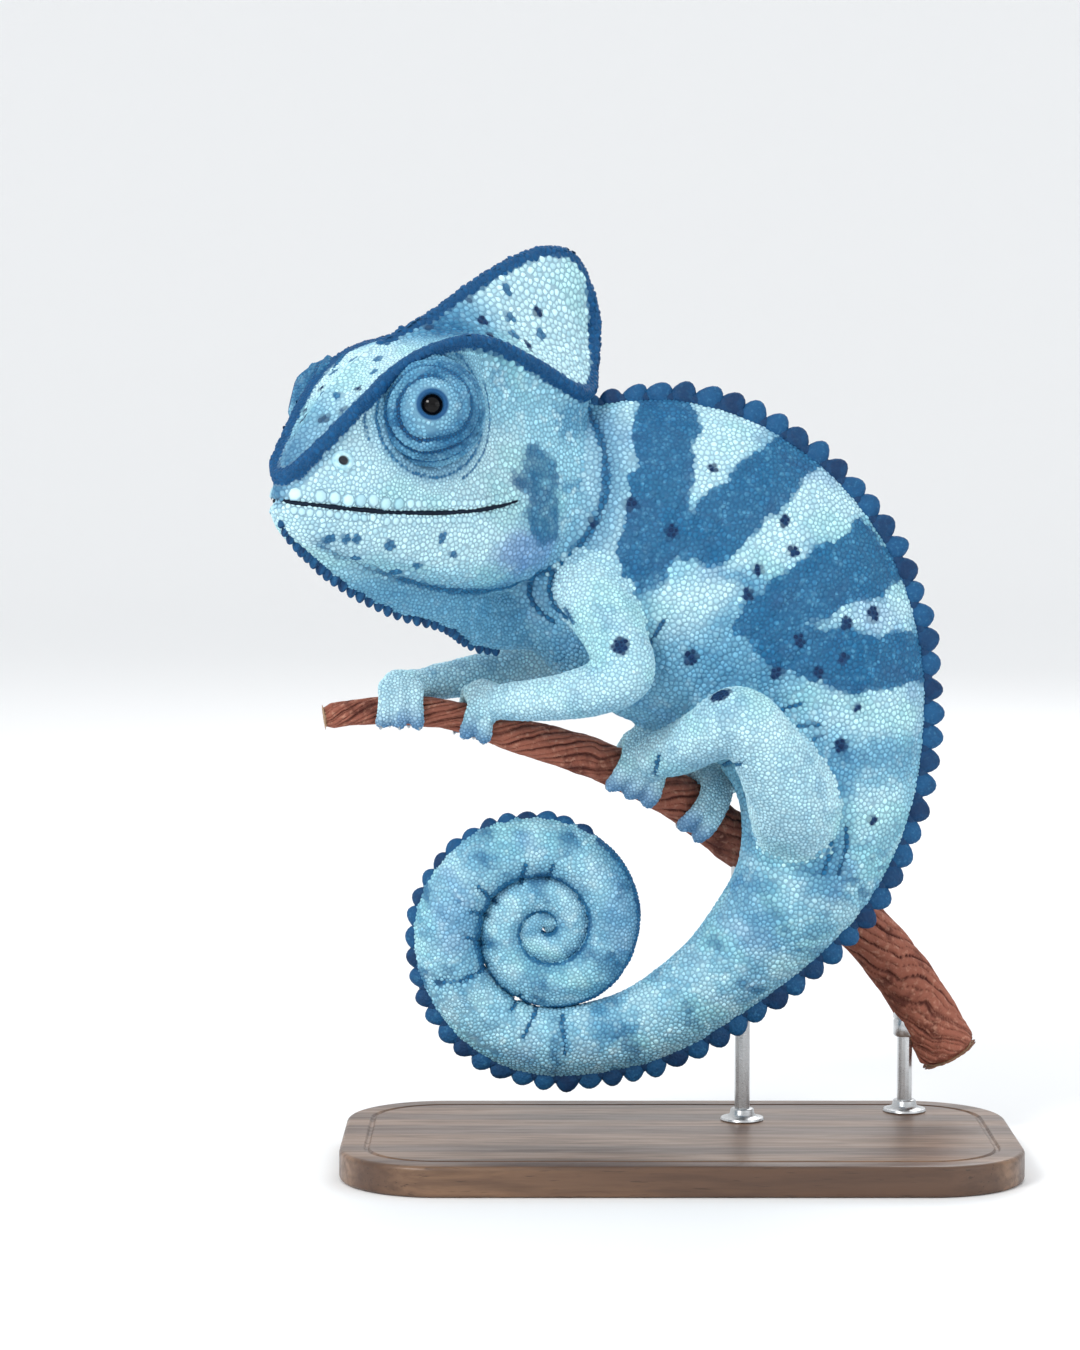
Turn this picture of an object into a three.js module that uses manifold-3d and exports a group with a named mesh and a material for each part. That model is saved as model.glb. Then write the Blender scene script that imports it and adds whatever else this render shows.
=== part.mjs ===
// A veiled chameleon at life size, gripping a cut length of branch that two steel rods hold over a flat base.
// Millimetres, +Z up. The animal faces -X and its left side faces -Y. The origin is the middle of the base's
// underside. The body and tail are one loft parted into lengths; head, limbs and toes are lofts too, and each
// piece is cut back from its neighbour by a thin parting gap.
import * as THREE from "three";
import { mergeVertices } from "three/addons/utils/BufferGeometryUtils.js";
import Module from "manifold-3d";

const wasm = await Module();
wasm.setup();

// ---------------------------------------------------------------- driving dimensions
const PARTING = 0.3; // gap between neighbouring pieces
const TRUNK_CLEARANCE = 0.5; // of the limbs and the throat, whose cuts follow a coarser trunk

// Trunk and tail base, nape to tail: [x, y, z, half height in the body's plane, half width]
const TRUNK_STATIONS = [
  [-45.5, -4.0, 170.5, 19.0, 11.5],
  [-36.1, -1.0, 168.4, 29.5, 15.5],
  [-22.9, 0, 164.8, 37.0, 18.0],
  [-9.9, 0, 160.6, 41.4, 20.0],
  [2.6, 0, 155.4, 42.6, 21.0],
  [14.3, 0, 147.9, 41.4, 21.0],
  [24.4, 0, 138.0, 38.4, 20.0],
  [31.7, 0, 126.6, 33.8, 18.5],
  [36.1, 0, 113.8, 29.0, 17.0],
  [38.0, 0, 100.3, 24.6, 15.5],
  [36.4, 0, 86.5, 21.2, 14.2],
  [31.2, 0, 73.3, 18.0, 12.8],
  [22.4, 0, 61.3, 15.0, 11.2],
  [10.9, 0, 49.9, 12.6, 10.0],
  [-2.1, 0, 40.3, 11.2, 9.2],
  [-15.0, 0, 34.4, 10.2, 8.6],
];

// The coil of the tail is a closed spiral in the body's plane: each turn lies in the turn before it.
const COIL_X = -35.1;
const COIL_Z = 61.8;
// Turns before the coil's end, then the radius of the coil's outer edge there
const COIL_EDGE = [
  [3, 39.4],
  [2.5, 28.4],
  [2, 20.0],
  [1.5, 13.8],
  [1, 8.6],
  [0.5, 4.4],
  [0, 1.3],
];
const COIL_TURNS = 2.72;
const COIL_GAP = 0.4; // between neighbouring turns
const COIL_STEPS_PER_TURN = 14;
const TAIL_FLATNESS = 0.86; // tail width over its height

const TRUNK_SIDES = 12;
const TAIL_SIDES = 10;
const TAIL_END_SIDES = 7;
const LOFT_STEPS = 1.7; // sections per station of the trunk
const TAIL_END_STEPS = 1; // and of the tail's end

// Crest of the back and tail
const CREST_START = 0.9; // as a trunk station number
const CREST_PITCH = 6.3;
const CREST_HEIGHT = 4.6;
const CREST_TAIL_HEIGHT = 2.4;
const CREST_COIL_END = 0.57; // turns of the coil that carry the crest
const CREST_THICK = 3.4;
const CREST_ROOT = 1.6; // depth of the crest in the back
const CREST_VALLEY = 0.12; // height left between two spines, as a share of theirs

// Head, in its own frame: u forward from the jaw joint, v to the animal's left, w up from the mouth line
const HEAD_AT = new THREE.Vector3(-36.9, -1.8, 169.7);
const HEAD_YAW = THREE.MathUtils.degToRad(42); // turned to the animal's left
const HEAD_PITCH = THREE.MathUtils.degToRad(3); // snout up
const MOUTH_CORNER = 21;

const EYE_AT = { u: 49.5, v: 13, w: 24 };
const GAZE = {
  1: { u: 0.75, v: 1, w: 0.12 }, // of the left eye
  [-1]: { u: 1, v: 0.75, w: 0.25 }, // of the right, turned to the front
};
const TURRET_RADIUS = 14;
const TURRET_HEIGHT = 16;
const TURRET_TIP_RADIUS = 5.4;
const TURRET_SIDES = 13;
const TURRET_SINK = 8; // depth of the turret's round foot inside the head
const EYE_OUT = { 1: 0, [-1]: 2.5 }; // how far each eye is pushed out
const PUPIL_HOLE = 2.9;
const EYEBALL_RADIUS = 4.2;

// Branch: [x, y, z, radius]
const BRANCH_STATIONS = [
  [-92.5, -2.5, 117.4, 3.4],
  [-82.0, -1.0, 118.8, 3.6],
  [-72.8, 0, 118.9, 3.8],
  [-62.4, 0, 118.0, 4.0],
  [-52.5, 0, 115.9, 4.3],
  [-42.0, 0.3, 112.6, 4.7],
  [-31.2, 1.2, 109.1, 5.0],
  [-20.5, 2.6, 105.3, 5.4],
  [-10.4, 5, 100.8, 5.8],
  [-1.6, 8.4, 96.0, 6.1],
  [7.0, 12, 89.8, 6.4],
  [21.9, 19, 78.4, 6.9],
  [32.8, 23, 71.6, 7.1],
  [49.0, 27, 59.6, 7.4],
  [60.8, 29.5, 45.4, 7.7],
  [70.4, 31, 30.6, 8.0],
  [74.4, 31.6, 23.2, 8.0],
];
const BRANCH_SIDES = 9;
const BRANCH_STEPS = 15;

// Stand
const BASE_LENGTH = 176;
const BASE_WIDTH = 92;
const BASE_HEIGHT = 8;
const BASE_CORNER = 26;
const BASE_CHAMFER = 1.2;
const ROD_RADIUS = 2;
const ROD_SIDES = 12;
const ROD_SOCKET = 4; // depth of a rod's ends in the base and the branch
const ROD_MIDDLE_X = 17.5;
const ROD_END_X = 62;

// Limbs: [x, y, z, radius] from the shoulder or hip over the elbow or knee to the wrist or ankle. joint is the
// number of the elbow or knee, holdX the branch place that the foot grips. side: -1 left, 1 right.
const LIMBS = [
  {
    name: "front_left",
    side: -1,
    path: [
      [-27.5, -7, 157.0, 9.2],
      [-22.5, -17, 149.0, 9.4],
      [-17.0, -24, 138.5, 8.6],
      [-14.8, -27, 130.6, 7.4],
      [-23.0, -24.5, 126.0, 6.9],
      [-36.0, -16.5, 123.0, 6.2],
      [-47.0, -8.4, 121.8, 5.2],
    ],
    joint: 3,
    holdX: -52.5,
    outerToes: 2,
    innerToes: 3,
    toe: 2.5,
  },
  {
    name: "front_right",
    side: 1,
    path: [
      [-29.5, 7, 156.0, 9.0],
      [-29.5, 17, 149.5, 9.0],
      [-29.0, 24, 142.0, 8.4],
      [-30.5, 26.5, 134.6, 7.2],
      [-40.0, 23.0, 130.2, 6.7],
      [-53.0, 15.0, 127.2, 6.0],
      [-66.5, 7.6, 125.2, 5.0],
    ],
    joint: 3,
    holdX: -72.8,
    outerToes: 2,
    innerToes: 3,
    toe: 2.4,
  },
  {
    name: "hind_left",
    side: -1,
    path: [
      [31.0, -4, 88.0, 12.0],
      [28.4, -13.5, 97.5, 11.8],
      [21.8, -21.5, 109.5, 10.2],
      [14.4, -25, 118.6, 8.4],
      [7.6, -21.0, 115.2, 7.9],
      [-1.0, -13.0, 109.6, 7.2],
      [-7.4, -6.0, 107.2, 6.2],
    ],
    joint: 3,
    holdX: -12.6,
    outerToes: 3,
    innerToes: 2,
    toe: 2.8,
  },
  {
    name: "hind_right",
    side: 1,
    path: [
      [31.0, 4, 90.0, 11.0],
      [29.5, 15, 98.0, 10.6],
      [26.0, 24, 107.0, 9.4],
      [21.5, 31, 113.6, 8.0],
      [18.0, 31.5, 107.5, 7.4],
      [13.5, 24.5, 102.4, 6.8],
      [8.0, 17.5, 100.0, 6.0],
    ],
    joint: 3,
    holdX: 4.0,
    outerToes: 3,
    innerToes: 2,
    toe: 2.8,
  },
];
const LIMB_SIDES = 8;
const BEND_LAP = 0.03; // how far each tube runs past the bend before it is cut, as a share of the limb
const LIMB_STEPS = 2; // sections per step of a limb's path
const TOE_STEPS = 3;
const TOE_SPACING = 1.6; // between the middles of two toes, in toe radii
const TOE_SPREAD = 0.28;
const CLAW_LENGTH = 4.2;
const CLAW_RADIUS = 1.0;
const CLAW_STEPS = 1;
const SPUR_HEIGHT = 5.5; // of the heel spur on a hind foot
const SPUR_RADIUS = 1.9;
const TOE_WRAP = THREE.MathUtils.degToRad(128); // how far a toe reaches round the branch from its top
const TOE_START = THREE.MathUtils.degToRad(14);
const PALM_TILT = THREE.MathUtils.degToRad(20); // the palm sits this far down the branch's outer side

// ---------------------------------------------------------------- solids and lofts
// A closed geometry as a manifold solid, turned to face out.
function solid(geometry) {
  const bare = geometry.clone();
  for (const name of Object.keys(bare.attributes)) if (name !== "position") bare.deleteAttribute(name);
  const merged = mergeVertices(bare, 1e-4);
  const triVerts = new Uint32Array(merged.index.array);
  const vertProperties = new Float32Array(merged.attributes.position.array);
  const made = new wasm.Manifold(new wasm.Mesh({ numProp: 3, vertProperties, triVerts }));
  if (made.volume() >= 0) return made;
  for (let i = 0; i < triVerts.length; i += 3) {
    [triVerts[i + 1], triVerts[i + 2]] = [triVerts[i + 2], triVerts[i + 1]];
  }
  return new wasm.Manifold(new wasm.Mesh({ numProp: 3, vertProperties, triVerts }));
}

// The largest body of a solid, because a cut can leave slivers.
function largest(whole) {
  const bodies = whole.decompose();
  return bodies.reduce((best, body) => (body.volume() > best.volume() ? body : best), bodies[0]);
}

function joined(solids) {
  return solids.reduce((sum, one) => sum.add(one));
}

function geometryOf(whole) {
  const mesh = whole.getMesh();
  const position = new Float32Array(mesh.numVert * 3);
  for (let i = 0; i < mesh.numVert; i++) {
    position.set(mesh.vertProperties.subarray(i * mesh.numProp, i * mesh.numProp + 3), i * 3);
  }
  const geometry = new THREE.BufferGeometry();
  geometry.setAttribute("position", new THREE.BufferAttribute(position, 3));
  geometry.setIndex(new THREE.BufferAttribute(new Uint32Array(mesh.triVerts), 1));
  geometry.computeVertexNormals();
  return geometry;
}

// A closed solid through rings of equal point counts, with a flat fan over each end.
function loft(rings) {
  const sides = rings[0].length;
  const points = rings.flat();
  const index = [];
  for (let r = 0; r + 1 < rings.length; r++) {
    for (let k = 0; k < sides; k++) {
      const a = r * sides + k;
      const b = r * sides + ((k + 1) % sides);
      index.push(a, b, a + sides, b, b + sides, a + sides);
    }
  }
  for (const [first, turn] of [
    [0, -1],
    [(rings.length - 1) * sides, 1],
  ]) {
    const middle = points.length;
    const centre = new THREE.Vector3();
    for (let k = 0; k < sides; k++) centre.addScaledVector(points[first + k], 1 / sides);
    points.push(centre);
    for (let k = 0; k < sides; k++) {
      const a = first + k;
      const b = first + ((k + 1) % sides);
      if (turn > 0) index.push(a, b, middle);
      else index.push(b, a, middle);
    }
  }
  const geometry = new THREE.BufferGeometry().setFromPoints(points);
  geometry.setIndex(index);
  return solid(geometry);
}

// A tube of round sections along points that each carry a radius, from share a to share b of the way.
function tube(stations, { from = 0, to = 1, steps, sides, grow = 0, squash = 1, across = null }) {
  const path = new THREE.CatmullRomCurve3(stations.map(([x, y, z]) => new THREE.Vector3(x, y, z)));
  const sizes = new THREE.CatmullRomCurve3(stations.map((s) => new THREE.Vector3(s[3], 0, 0)));
  const rings = [];
  for (let i = 0; i <= steps; i++) {
    const t = THREE.MathUtils.lerp(from, to, i / steps);
    const centre = path.getPoint(t);
    const along = path.getTangent(t);
    const radius = sizes.getPoint(t).x + grow;
    const side = (across ?? new THREE.Vector3(0, 1, 0)).clone();
    side.addScaledVector(along, -side.dot(along)).normalize();
    const over = new THREE.Vector3().crossVectors(along, side);
    const ring = [];
    for (let k = 0; k < sides; k++) {
      const turn = (2 * Math.PI * k) / sides;
      ring.push(
        centre
          .clone()
          .addScaledVector(side, radius * squash * Math.cos(turn))
          .addScaledVector(over, radius * Math.sin(turn)),
      );
    }
    rings.push(ring);
  }
  return loft(rings);
}

// ---------------------------------------------------------------- spine, trunk and tail
const coilEdge = keyed(COIL_EDGE);

function coilStation(turns) {
  const angle = 2 * Math.PI * turns;
  const left = COIL_EDGE[0][0] - turns;
  const outer = coilEdge(left);
  const inner = (coilEdge(Math.max(left - 1, 0)) + COIL_GAP) * Math.min(left, 1);
  const radius = (outer + inner) / 2;
  const half = (outer - inner) / 2;
  return [COIL_X - radius * Math.sin(angle), 0, COIL_Z - radius * Math.cos(angle), half, half * TAIL_FLATNESS];
}

const stations = [...TRUNK_STATIONS];
const COIL_FIRST = stations.length;
const COIL_STEPS = Math.floor(COIL_TURNS * COIL_STEPS_PER_TURN);
for (let i = 0; i <= COIL_STEPS; i++) stations.push(coilStation(i / COIL_STEPS_PER_TURN));
const LAST = stations.length - 1;
const TAIL_BASE = 11; // station number where the tail leaves the pelvis
const TAIL_END = COIL_FIRST + 8; // and where its thin end begins
const spineLine = new THREE.CatmullRomCurve3(stations.map(([x, y, z]) => new THREE.Vector3(x, y, z)));
const spineSize = new THREE.CatmullRomCurve3(stations.map((s) => new THREE.Vector3(s[3], s[4], 0)));

// The spine at a station number: its centre, its outward (dorsal) direction and its half sizes.
function spine(number) {
  const t = THREE.MathUtils.clamp(number / LAST, 0, 1);
  const along = spineLine.getTangent(t);
  const size = spineSize.getPoint(t);
  return {
    centre: spineLine.getPoint(t),
    dorsal: new THREE.Vector3(-along.z, 0, along.x).normalize(),
    along,
    rise: size.x,
    wide: size.y,
  };
}

// A body section: narrow at the back's ridge, fullest a little below its middle.
function bodyRing(number, grow, sides) {
  const { centre, dorsal, along, rise, wide } = spine(number);
  const lateral = new THREE.Vector3().crossVectors(along, dorsal).normalize();
  const ring = [];
  for (let k = 0; k < sides; k++) {
    const turn = (2 * Math.PI * k) / sides;
    const up = Math.cos(turn);
    const out = Math.sign(Math.sin(turn)) * Math.abs(Math.sin(turn)) ** (1 + 0.4 * Math.max(0, up));
    ring.push(
      centre
        .clone()
        .addScaledVector(dorsal, (rise + grow) * up)
        .addScaledVector(lateral, (wide + grow) * out * (1 - 0.12 * up)),
    );
  }
  return ring;
}

function bodyLength(from, to, grow = 0, sides = TRUNK_SIDES) {
  const density = from < COIL_FIRST ? LOFT_STEPS : from < TAIL_END ? 1 : TAIL_END_STEPS;
  const steps = Math.max(2, Math.round((to - from) * density));
  const rings = [];
  for (let i = 0; i <= steps; i++) {
    rings.push(bodyRing(THREE.MathUtils.lerp(from, to, i / steps), grow, sides));
  }
  return loft(rings);
}

// Station numbers of the crest's spines, a fixed pitch apart along the back's outer line.
function crestPlaces() {
  const places = [];
  const end = COIL_FIRST + CREST_COIL_END * COIL_STEPS_PER_TURN;
  const step = 0.02;
  let since = CREST_PITCH;
  let last = null;
  for (let number = CREST_START; number < end; number += step) {
    const { centre, dorsal, rise } = spine(number);
    const edge = centre.addScaledVector(dorsal, rise);
    if (last) since += edge.distanceTo(last);
    last = edge;
    const pitch = CREST_PITCH * crestSize(number) ** 0.35;
    if (since >= pitch) {
      places.push(number);
      since -= pitch;
    }
  }
  return places;
}

// Height of the crest as a share of its tallest, over the station number.
function crestSize(number) {
  const rising = THREE.MathUtils.smoothstep(number, CREST_START - 1.2, CREST_START + 2);
  const falling = THREE.MathUtils.smoothstep(number, 9, COIL_FIRST + CREST_COIL_END * COIL_STEPS_PER_TURN);
  return rising * THREE.MathUtils.lerp(1, CREST_TAIL_HEIGHT / CREST_HEIGHT, falling);
}

// A stretch of the crest, between two spines by their place in the row: pointed, sharing their feet.
function crestStrip(first, last) {
  const rings = [];
  const addRing = (number, height) => {
    const { centre, dorsal, along, rise } = spine(number);
    const lateral = new THREE.Vector3().crossVectors(along, dorsal).normalize();
    const corner = (out, up) =>
      centre
        .clone()
        .addScaledVector(lateral, out)
        .addScaledVector(dorsal, rise + up);
    const half = CREST_THICK / 2;
    rings.push([corner(half, -CREST_ROOT), corner(0, height), corner(-half, -CREST_ROOT)]);
  };
  for (let i = first; i <= last; i++) {
    const number = crest[i];
    const before = crest[i - 1] ?? 2 * number - crest[i + 1];
    const after = crest[i + 1] ?? 2 * number - crest[i - 1];
    const height = CREST_HEIGHT * crestSize(number);
    addRing(THREE.MathUtils.lerp(before, number, i === first ? 0.55 : 0.5), height * CREST_VALLEY);
    addRing(THREE.MathUtils.lerp(number, after, 0.1), height);
    if (i === last) addRing(THREE.MathUtils.lerp(number, after, 0.45), height * CREST_VALLEY);
  }
  return loft(rings);
}

const crest = crestPlaces();

// The nearest station number to a wanted one that falls between two spines of the crest.
function betweenSpines(wanted) {
  if (wanted < crest[0] || wanted > crest.at(-1)) return wanted;
  let best = wanted;
  let nearest = Infinity;
  for (let i = 0; i + 1 < crest.length; i++) {
    const middle = (crest[i] + crest[i + 1]) / 2;
    if (Math.abs(middle - wanted) < nearest) {
      nearest = Math.abs(middle - wanted);
      best = middle;
    }
  }
  return best;
}

// A length of body with its spines, less half a parting at each end.
function bodyPiece(from, to) {
  const a = betweenSpines(from);
  const b = betweenSpines(to);
  const trim = (number) => {
    const t = THREE.MathUtils.clamp(number / LAST, 0.001, 0.999);
    const speed = spineLine.getPoint(t + 0.001).distanceTo(spineLine.getPoint(t - 0.001)) / (0.002 * LAST);
    return PARTING / 2 / speed;
  };
  const start = from > 0 ? a + trim(a) : from;
  const end = to < LAST ? b - trim(b) : to;
  const sides = from < TAIL_BASE ? TRUNK_SIDES : from < TAIL_END ? TAIL_SIDES : TAIL_END_SIDES;
  const length = bodyLength(start, end, 0, sides);
  const first = crest.findIndex((number) => number > a);
  const last = crest.findLastIndex((number) => number < b);
  return first >= 0 && last > first ? length.add(crestStrip(first, last)) : length;
}

// ---------------------------------------------------------------- head
// Smooth value between [place, value] keys in falling order of place.
function keyed(keys) {
  return (u) => {
    if (u >= keys[0][0]) return keys[0][1];
    for (let i = 0; i + 1 < keys.length; i++) {
      const [a, va] = keys[i];
      const [b, vb] = keys[i + 1];
      if (u <= a && u >= b) {
        const before = keys[Math.max(0, i - 1)];
        const after = keys[Math.min(keys.length - 1, i + 2)];
        const slopeA = ((vb - before[1]) / (b - before[0])) * (b - a);
        const slopeB = ((after[1] - va) / (after[0] - a)) * (b - a);
        const t = (a - u) / (a - b);
        const t2 = t * t;
        const t3 = t2 * t;
        return (
          va * (2 * t3 - 3 * t2 + 1) + slopeA * (t3 - 2 * t2 + t) + vb * (3 * t2 - 2 * t3) + slopeB * (t3 - t2)
        );
      }
    }
    return keys.at(-1)[1];
  };
}

const headTop = keyed([
  [86, 6],
  [83.5, 12],
  [78, 20.5],
  [70, 30.5],
  [60, 39],
  [50, 44.5],
  [40, 49],
  [30, 55],
  [20, 61],
  [10, 66],
  [0, 69],
  [-6, 68.5],
  [-12, 64.5],
  [-16, 56],
]);
const headBottom = keyed([
  [86, -3.5],
  [83.5, -7],
  [77, -11.5],
  [66, -15.5],
  [52, -19],
  [38, -21.5],
  [24, -22],
  [12, -20],
  [3, -14],
  [-3, -3],
  [-7, 14],
  [-11.5, 30],
  [-16, 46],
]);
// The ridge from the nostril over the eye to the back of the casque
const ridgeOut = keyed([
  [86, 2.6],
  [81.5, 6],
  [74, 10],
  [66, 13],
  [56, 14.8],
  [46, 15.8],
  [36, 16.2],
  [24, 16],
  [12, 16],
  [0, 15.4],
  [-7, 12],
  [-12, 7],
  [-16, 2.4],
]);
const ridgeUp = keyed([
  [86, 5],
  [81.5, 11.2],
  [74, 20],
  [68, 27],
  [62, 33],
  [56, 37.2],
  [50, 40],
  [40, 42.5],
  [30, 42],
  [20, 39],
  [10, 35.2],
  [0, 31.5],
  [-7, 32],
  [-12, 40],
  [-16, 51],
]);
const cheekOut = keyed([
  [86, 2.8],
  [82.5, 6],
  [75, 9.8],
  [64, 12.6],
  [50, 14.6],
  [36, 16.2],
  [22, 17.4],
  [10, 17.8],
  [0, 16.5],
  [-5, 13],
  [-10.5, 7],
  [-16, 2.2],
]);
const HEAD_PLACES = [86, 83.5, 78, 70, 61, 51, 41, 31, 21, 11, 3, -3.5, -9, -13, -16];

const headFrame = new THREE.Object3D();
headFrame.position.copy(HEAD_AT);
headFrame.rotation.set(0, -HEAD_PITCH, Math.PI + HEAD_YAW, "ZYX");
headFrame.updateMatrixWorld(true);

// A point of the head's frame in the part's frame
function headPoint(u, v, w) {
  return new THREE.Vector3(u, v, w).applyMatrix4(headFrame.matrixWorld);
}

// Half of a head section from the crown to the throat, as [share of the half width, level] pairs.
function headHalf(u) {
  const top = headTop(u);
  const floor = headBottom(u);
  const out = ridgeOut(u);
  const up = ridgeUp(u);
  const cheek = cheekOut(u);
  const down = (share) => THREE.MathUtils.lerp(up, floor, share);
  const crown = Math.min(1.7, out * 0.4);
  return [
    [0, top],
    [crown, top - 1.2],
    [out * 0.5, THREE.MathUtils.lerp(top, up, 0.62)],
    [out, up],
    [out * 0.9, down(0.08)],
    [THREE.MathUtils.lerp(out * 0.86, cheek, 0.35), down(0.28)],
    [THREE.MathUtils.lerp(out * 0.9, cheek, 0.8), down(0.48)],
    [cheek, down(0.64)],
    [cheek * 0.93, down(0.8)],
    [cheek * 0.64, down(0.93)],
    [0, floor],
  ];
}

function headSolid(grow) {
  const rings = HEAD_PLACES.map((u, i) => {
    const half = headHalf(u);
    const both = [...half, ...half.slice(1, -1).reverse().map(([v, w]) => [-v, w])];
    const middle = (headTop(u) + headBottom(u)) / 2;
    const end = i === 0 ? grow : i === HEAD_PLACES.length - 1 ? -grow : 0;
    return both.map(([v, w]) => {
      const reach = Math.hypot(v, w - middle) || 1;
      return headPoint(u + end, v + (v / reach) * grow, w + ((w - middle) / reach) * grow);
    });
  });
  return loft(rings);
}

// A wedge of space below the mouth line and before the mouth's corner, across the whole head.
function mouthCutter(shift) {
  const outline = new THREE.Shape();
  outline.moveTo(96, 1.5 - shift);
  outline.quadraticCurveTo(44, -4.5 - shift, MOUTH_CORNER + shift, 3.5 - shift);
  outline.lineTo(MOUTH_CORNER + shift, -60);
  outline.lineTo(96, -60);
  outline.closePath();
  const geometry = new THREE.ExtrudeGeometry(outline, { depth: 80, bevelEnabled: false, curveSegments: 5 });
  geometry.translate(0, 0, -40);
  geometry.rotateX(Math.PI / 2);
  geometry.applyMatrix4(headFrame.matrixWorld);
  return solid(geometry);
}

// The throat's hanging skin: a thin loft from the chin to the chest, with its row of small cones.
const THROAT_STATIONS = [
  [...headPoint(78, 0, -7).toArray(), 3.2],
  [...headPoint(64, 0, -13.5).toArray(), 5.6],
  [...headPoint(46, 0, -19).toArray(), 7.2],
  [...headPoint(28, 0, -21.5).toArray(), 8.6],
  [-50.5, -7.5, 144.5, 9.4],
  [-40.0, -2.0, 144.0, 10.0],
];
const THROAT_FLATNESS = 0.72;
const THROAT_STEPS = 7;
const THROAT_SIDES = 8;
const GULAR_CONES = 11;
const GULAR_HEIGHT = 2.3;

function throatSolid() {
  const line = new THREE.CatmullRomCurve3(THROAT_STATIONS.map(([x, y, z]) => new THREE.Vector3(x, y, z)));
  const sizes = new THREE.CatmullRomCurve3(THROAT_STATIONS.map((s) => new THREE.Vector3(s[3], 0, 0)));
  const across = headPoint(0, 1, 0).sub(headPoint(0, 0, 0));
  const fold = { steps: THROAT_STEPS, sides: THROAT_SIDES, squash: THROAT_FLATNESS, across };
  const pieces = [tube(THROAT_STATIONS, fold)];
  for (let i = 0; i < GULAR_CONES; i++) {
    const t = 0.04 + (0.84 * i) / GULAR_CONES;
    const down = new THREE.Vector3().crossVectors(across, line.getTangent(t)).normalize();
    if (down.z > 0) down.negate();
    const root = line.getPoint(t).addScaledVector(down, sizes.getPoint(t).x + GULAR_HEIGHT / 2 - 0.8);
    const cone = new THREE.ConeGeometry(2.2, GULAR_HEIGHT + 1.2, 3);
    cone.applyQuaternion(new THREE.Quaternion().setFromUnitVectors(new THREE.Vector3(0, 1, 0), down));
    cone.translate(root.x, root.y, root.z);
    pieces.push(solid(cone));
  }
  return joined(pieces);
}

// ---------------------------------------------------------------- eyes
function eyePlacement(side) {
  const gaze = GAZE[side];
  const from = headPoint(EYE_AT.u, EYE_AT.v * side, EYE_AT.w);
  const to = headPoint(EYE_AT.u + gaze.u, (EYE_AT.v + gaze.v) * side, EYE_AT.w + gaze.w);
  const axis = to.sub(from).normalize();
  from.addScaledVector(axis, EYE_OUT[side]);
  return { from, turn: new THREE.Quaternion().setFromUnitVectors(new THREE.Vector3(0, 1, 0), axis), axis };
}

// A lathe's solid of [radius, height] points, set on the head.
function eyeLathe(profile, side, segments) {
  const { from, turn } = eyePlacement(side);
  const geometry = new THREE.LatheGeometry(
    profile.map(([r, h]) => new THREE.Vector2(r, h)),
    segments,
  );
  geometry.applyQuaternion(turn);
  geometry.translate(from.x, from.y, from.z);
  return solid(geometry);
}

const EYEBALL_DEEP = TURRET_HEIGHT - EYEBALL_RADIUS - 0.7; // height of the eyeball's centre in the turret

function eyeballSolid(side, grow = 0) {
  const radius = EYEBALL_RADIUS + grow;
  const rings = 4;
  const profile = [];
  for (let i = 0; i <= rings; i++) {
    const angle = Math.PI * (i / rings - 0.5);
    const out = i === 0 || i === rings ? 0 : radius * Math.cos(angle);
    profile.push([out, EYEBALL_DEEP + radius * Math.sin(angle)]);
  }
  return eyeLathe(profile, side, 9);
}

// The cone of fused lids, or with grow the room it takes in the head
function turretSolid(side, grow = 0) {
  const cone = eyeLathe(
    [
      [0, -TURRET_SINK - grow],
      [TURRET_RADIUS * 0.48 + grow, -TURRET_SINK - grow],
      [TURRET_RADIUS * 0.8 + grow, -TURRET_SINK * 0.66 - grow],
      [TURRET_RADIUS * 0.96 + grow, -2],
      [TURRET_RADIUS + grow, 1.5],
      [TURRET_RADIUS * 0.93 + grow, 5.5],
      [TURRET_RADIUS * 0.74 + grow, TURRET_HEIGHT * 0.68],
      [TURRET_TIP_RADIUS + grow, TURRET_HEIGHT * 0.94 + grow],
      [PUPIL_HOLE + 0.8, TURRET_HEIGHT + grow],
      [0, TURRET_HEIGHT + grow],
    ],
    side,
    TURRET_SIDES,
  );
  if (grow > 0) return cone;
  const opening = eyeLathe(
    [
      [0, EYEBALL_DEEP],
      [PUPIL_HOLE, EYEBALL_DEEP],
      [PUPIL_HOLE, TURRET_HEIGHT + 2],
      [0, TURRET_HEIGHT + 2],
    ],
    side,
    8,
  );
  return cone.subtract(eyeballSolid(side, PARTING)).subtract(opening);
}

// ---------------------------------------------------------------- branch
const branchLine = new THREE.CatmullRomCurve3(BRANCH_STATIONS.map(([x, y, z]) => new THREE.Vector3(x, y, z)));
const branchSize = new THREE.CatmullRomCurve3(BRANCH_STATIONS.map((s) => new THREE.Vector3(s[3], 0, 0)));

// The branch at the place where its centre line has this x
function branchAt(x) {
  let low = 0;
  let high = 1;
  for (let i = 0; i < 40; i++) {
    const middle = (low + high) / 2;
    if (branchLine.getPoint(middle).x < x) low = middle;
    else high = middle;
  }
  const along = branchLine.getTangent(low);
  const out = new THREE.Vector3(0, -1, 0);
  out.addScaledVector(along, -out.dot(along)).normalize(); // towards the animal's left
  const up = new THREE.Vector3().crossVectors(out, along).normalize();
  if (up.z < 0) up.negate();
  return { centre: branchLine.getPoint(low), along, out, up, radius: branchSize.getPoint(low).x };
}

function branchSolid(grow = 0) {
  return tube(BRANCH_STATIONS, { steps: BRANCH_STEPS, sides: BRANCH_SIDES, grow });
}

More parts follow.
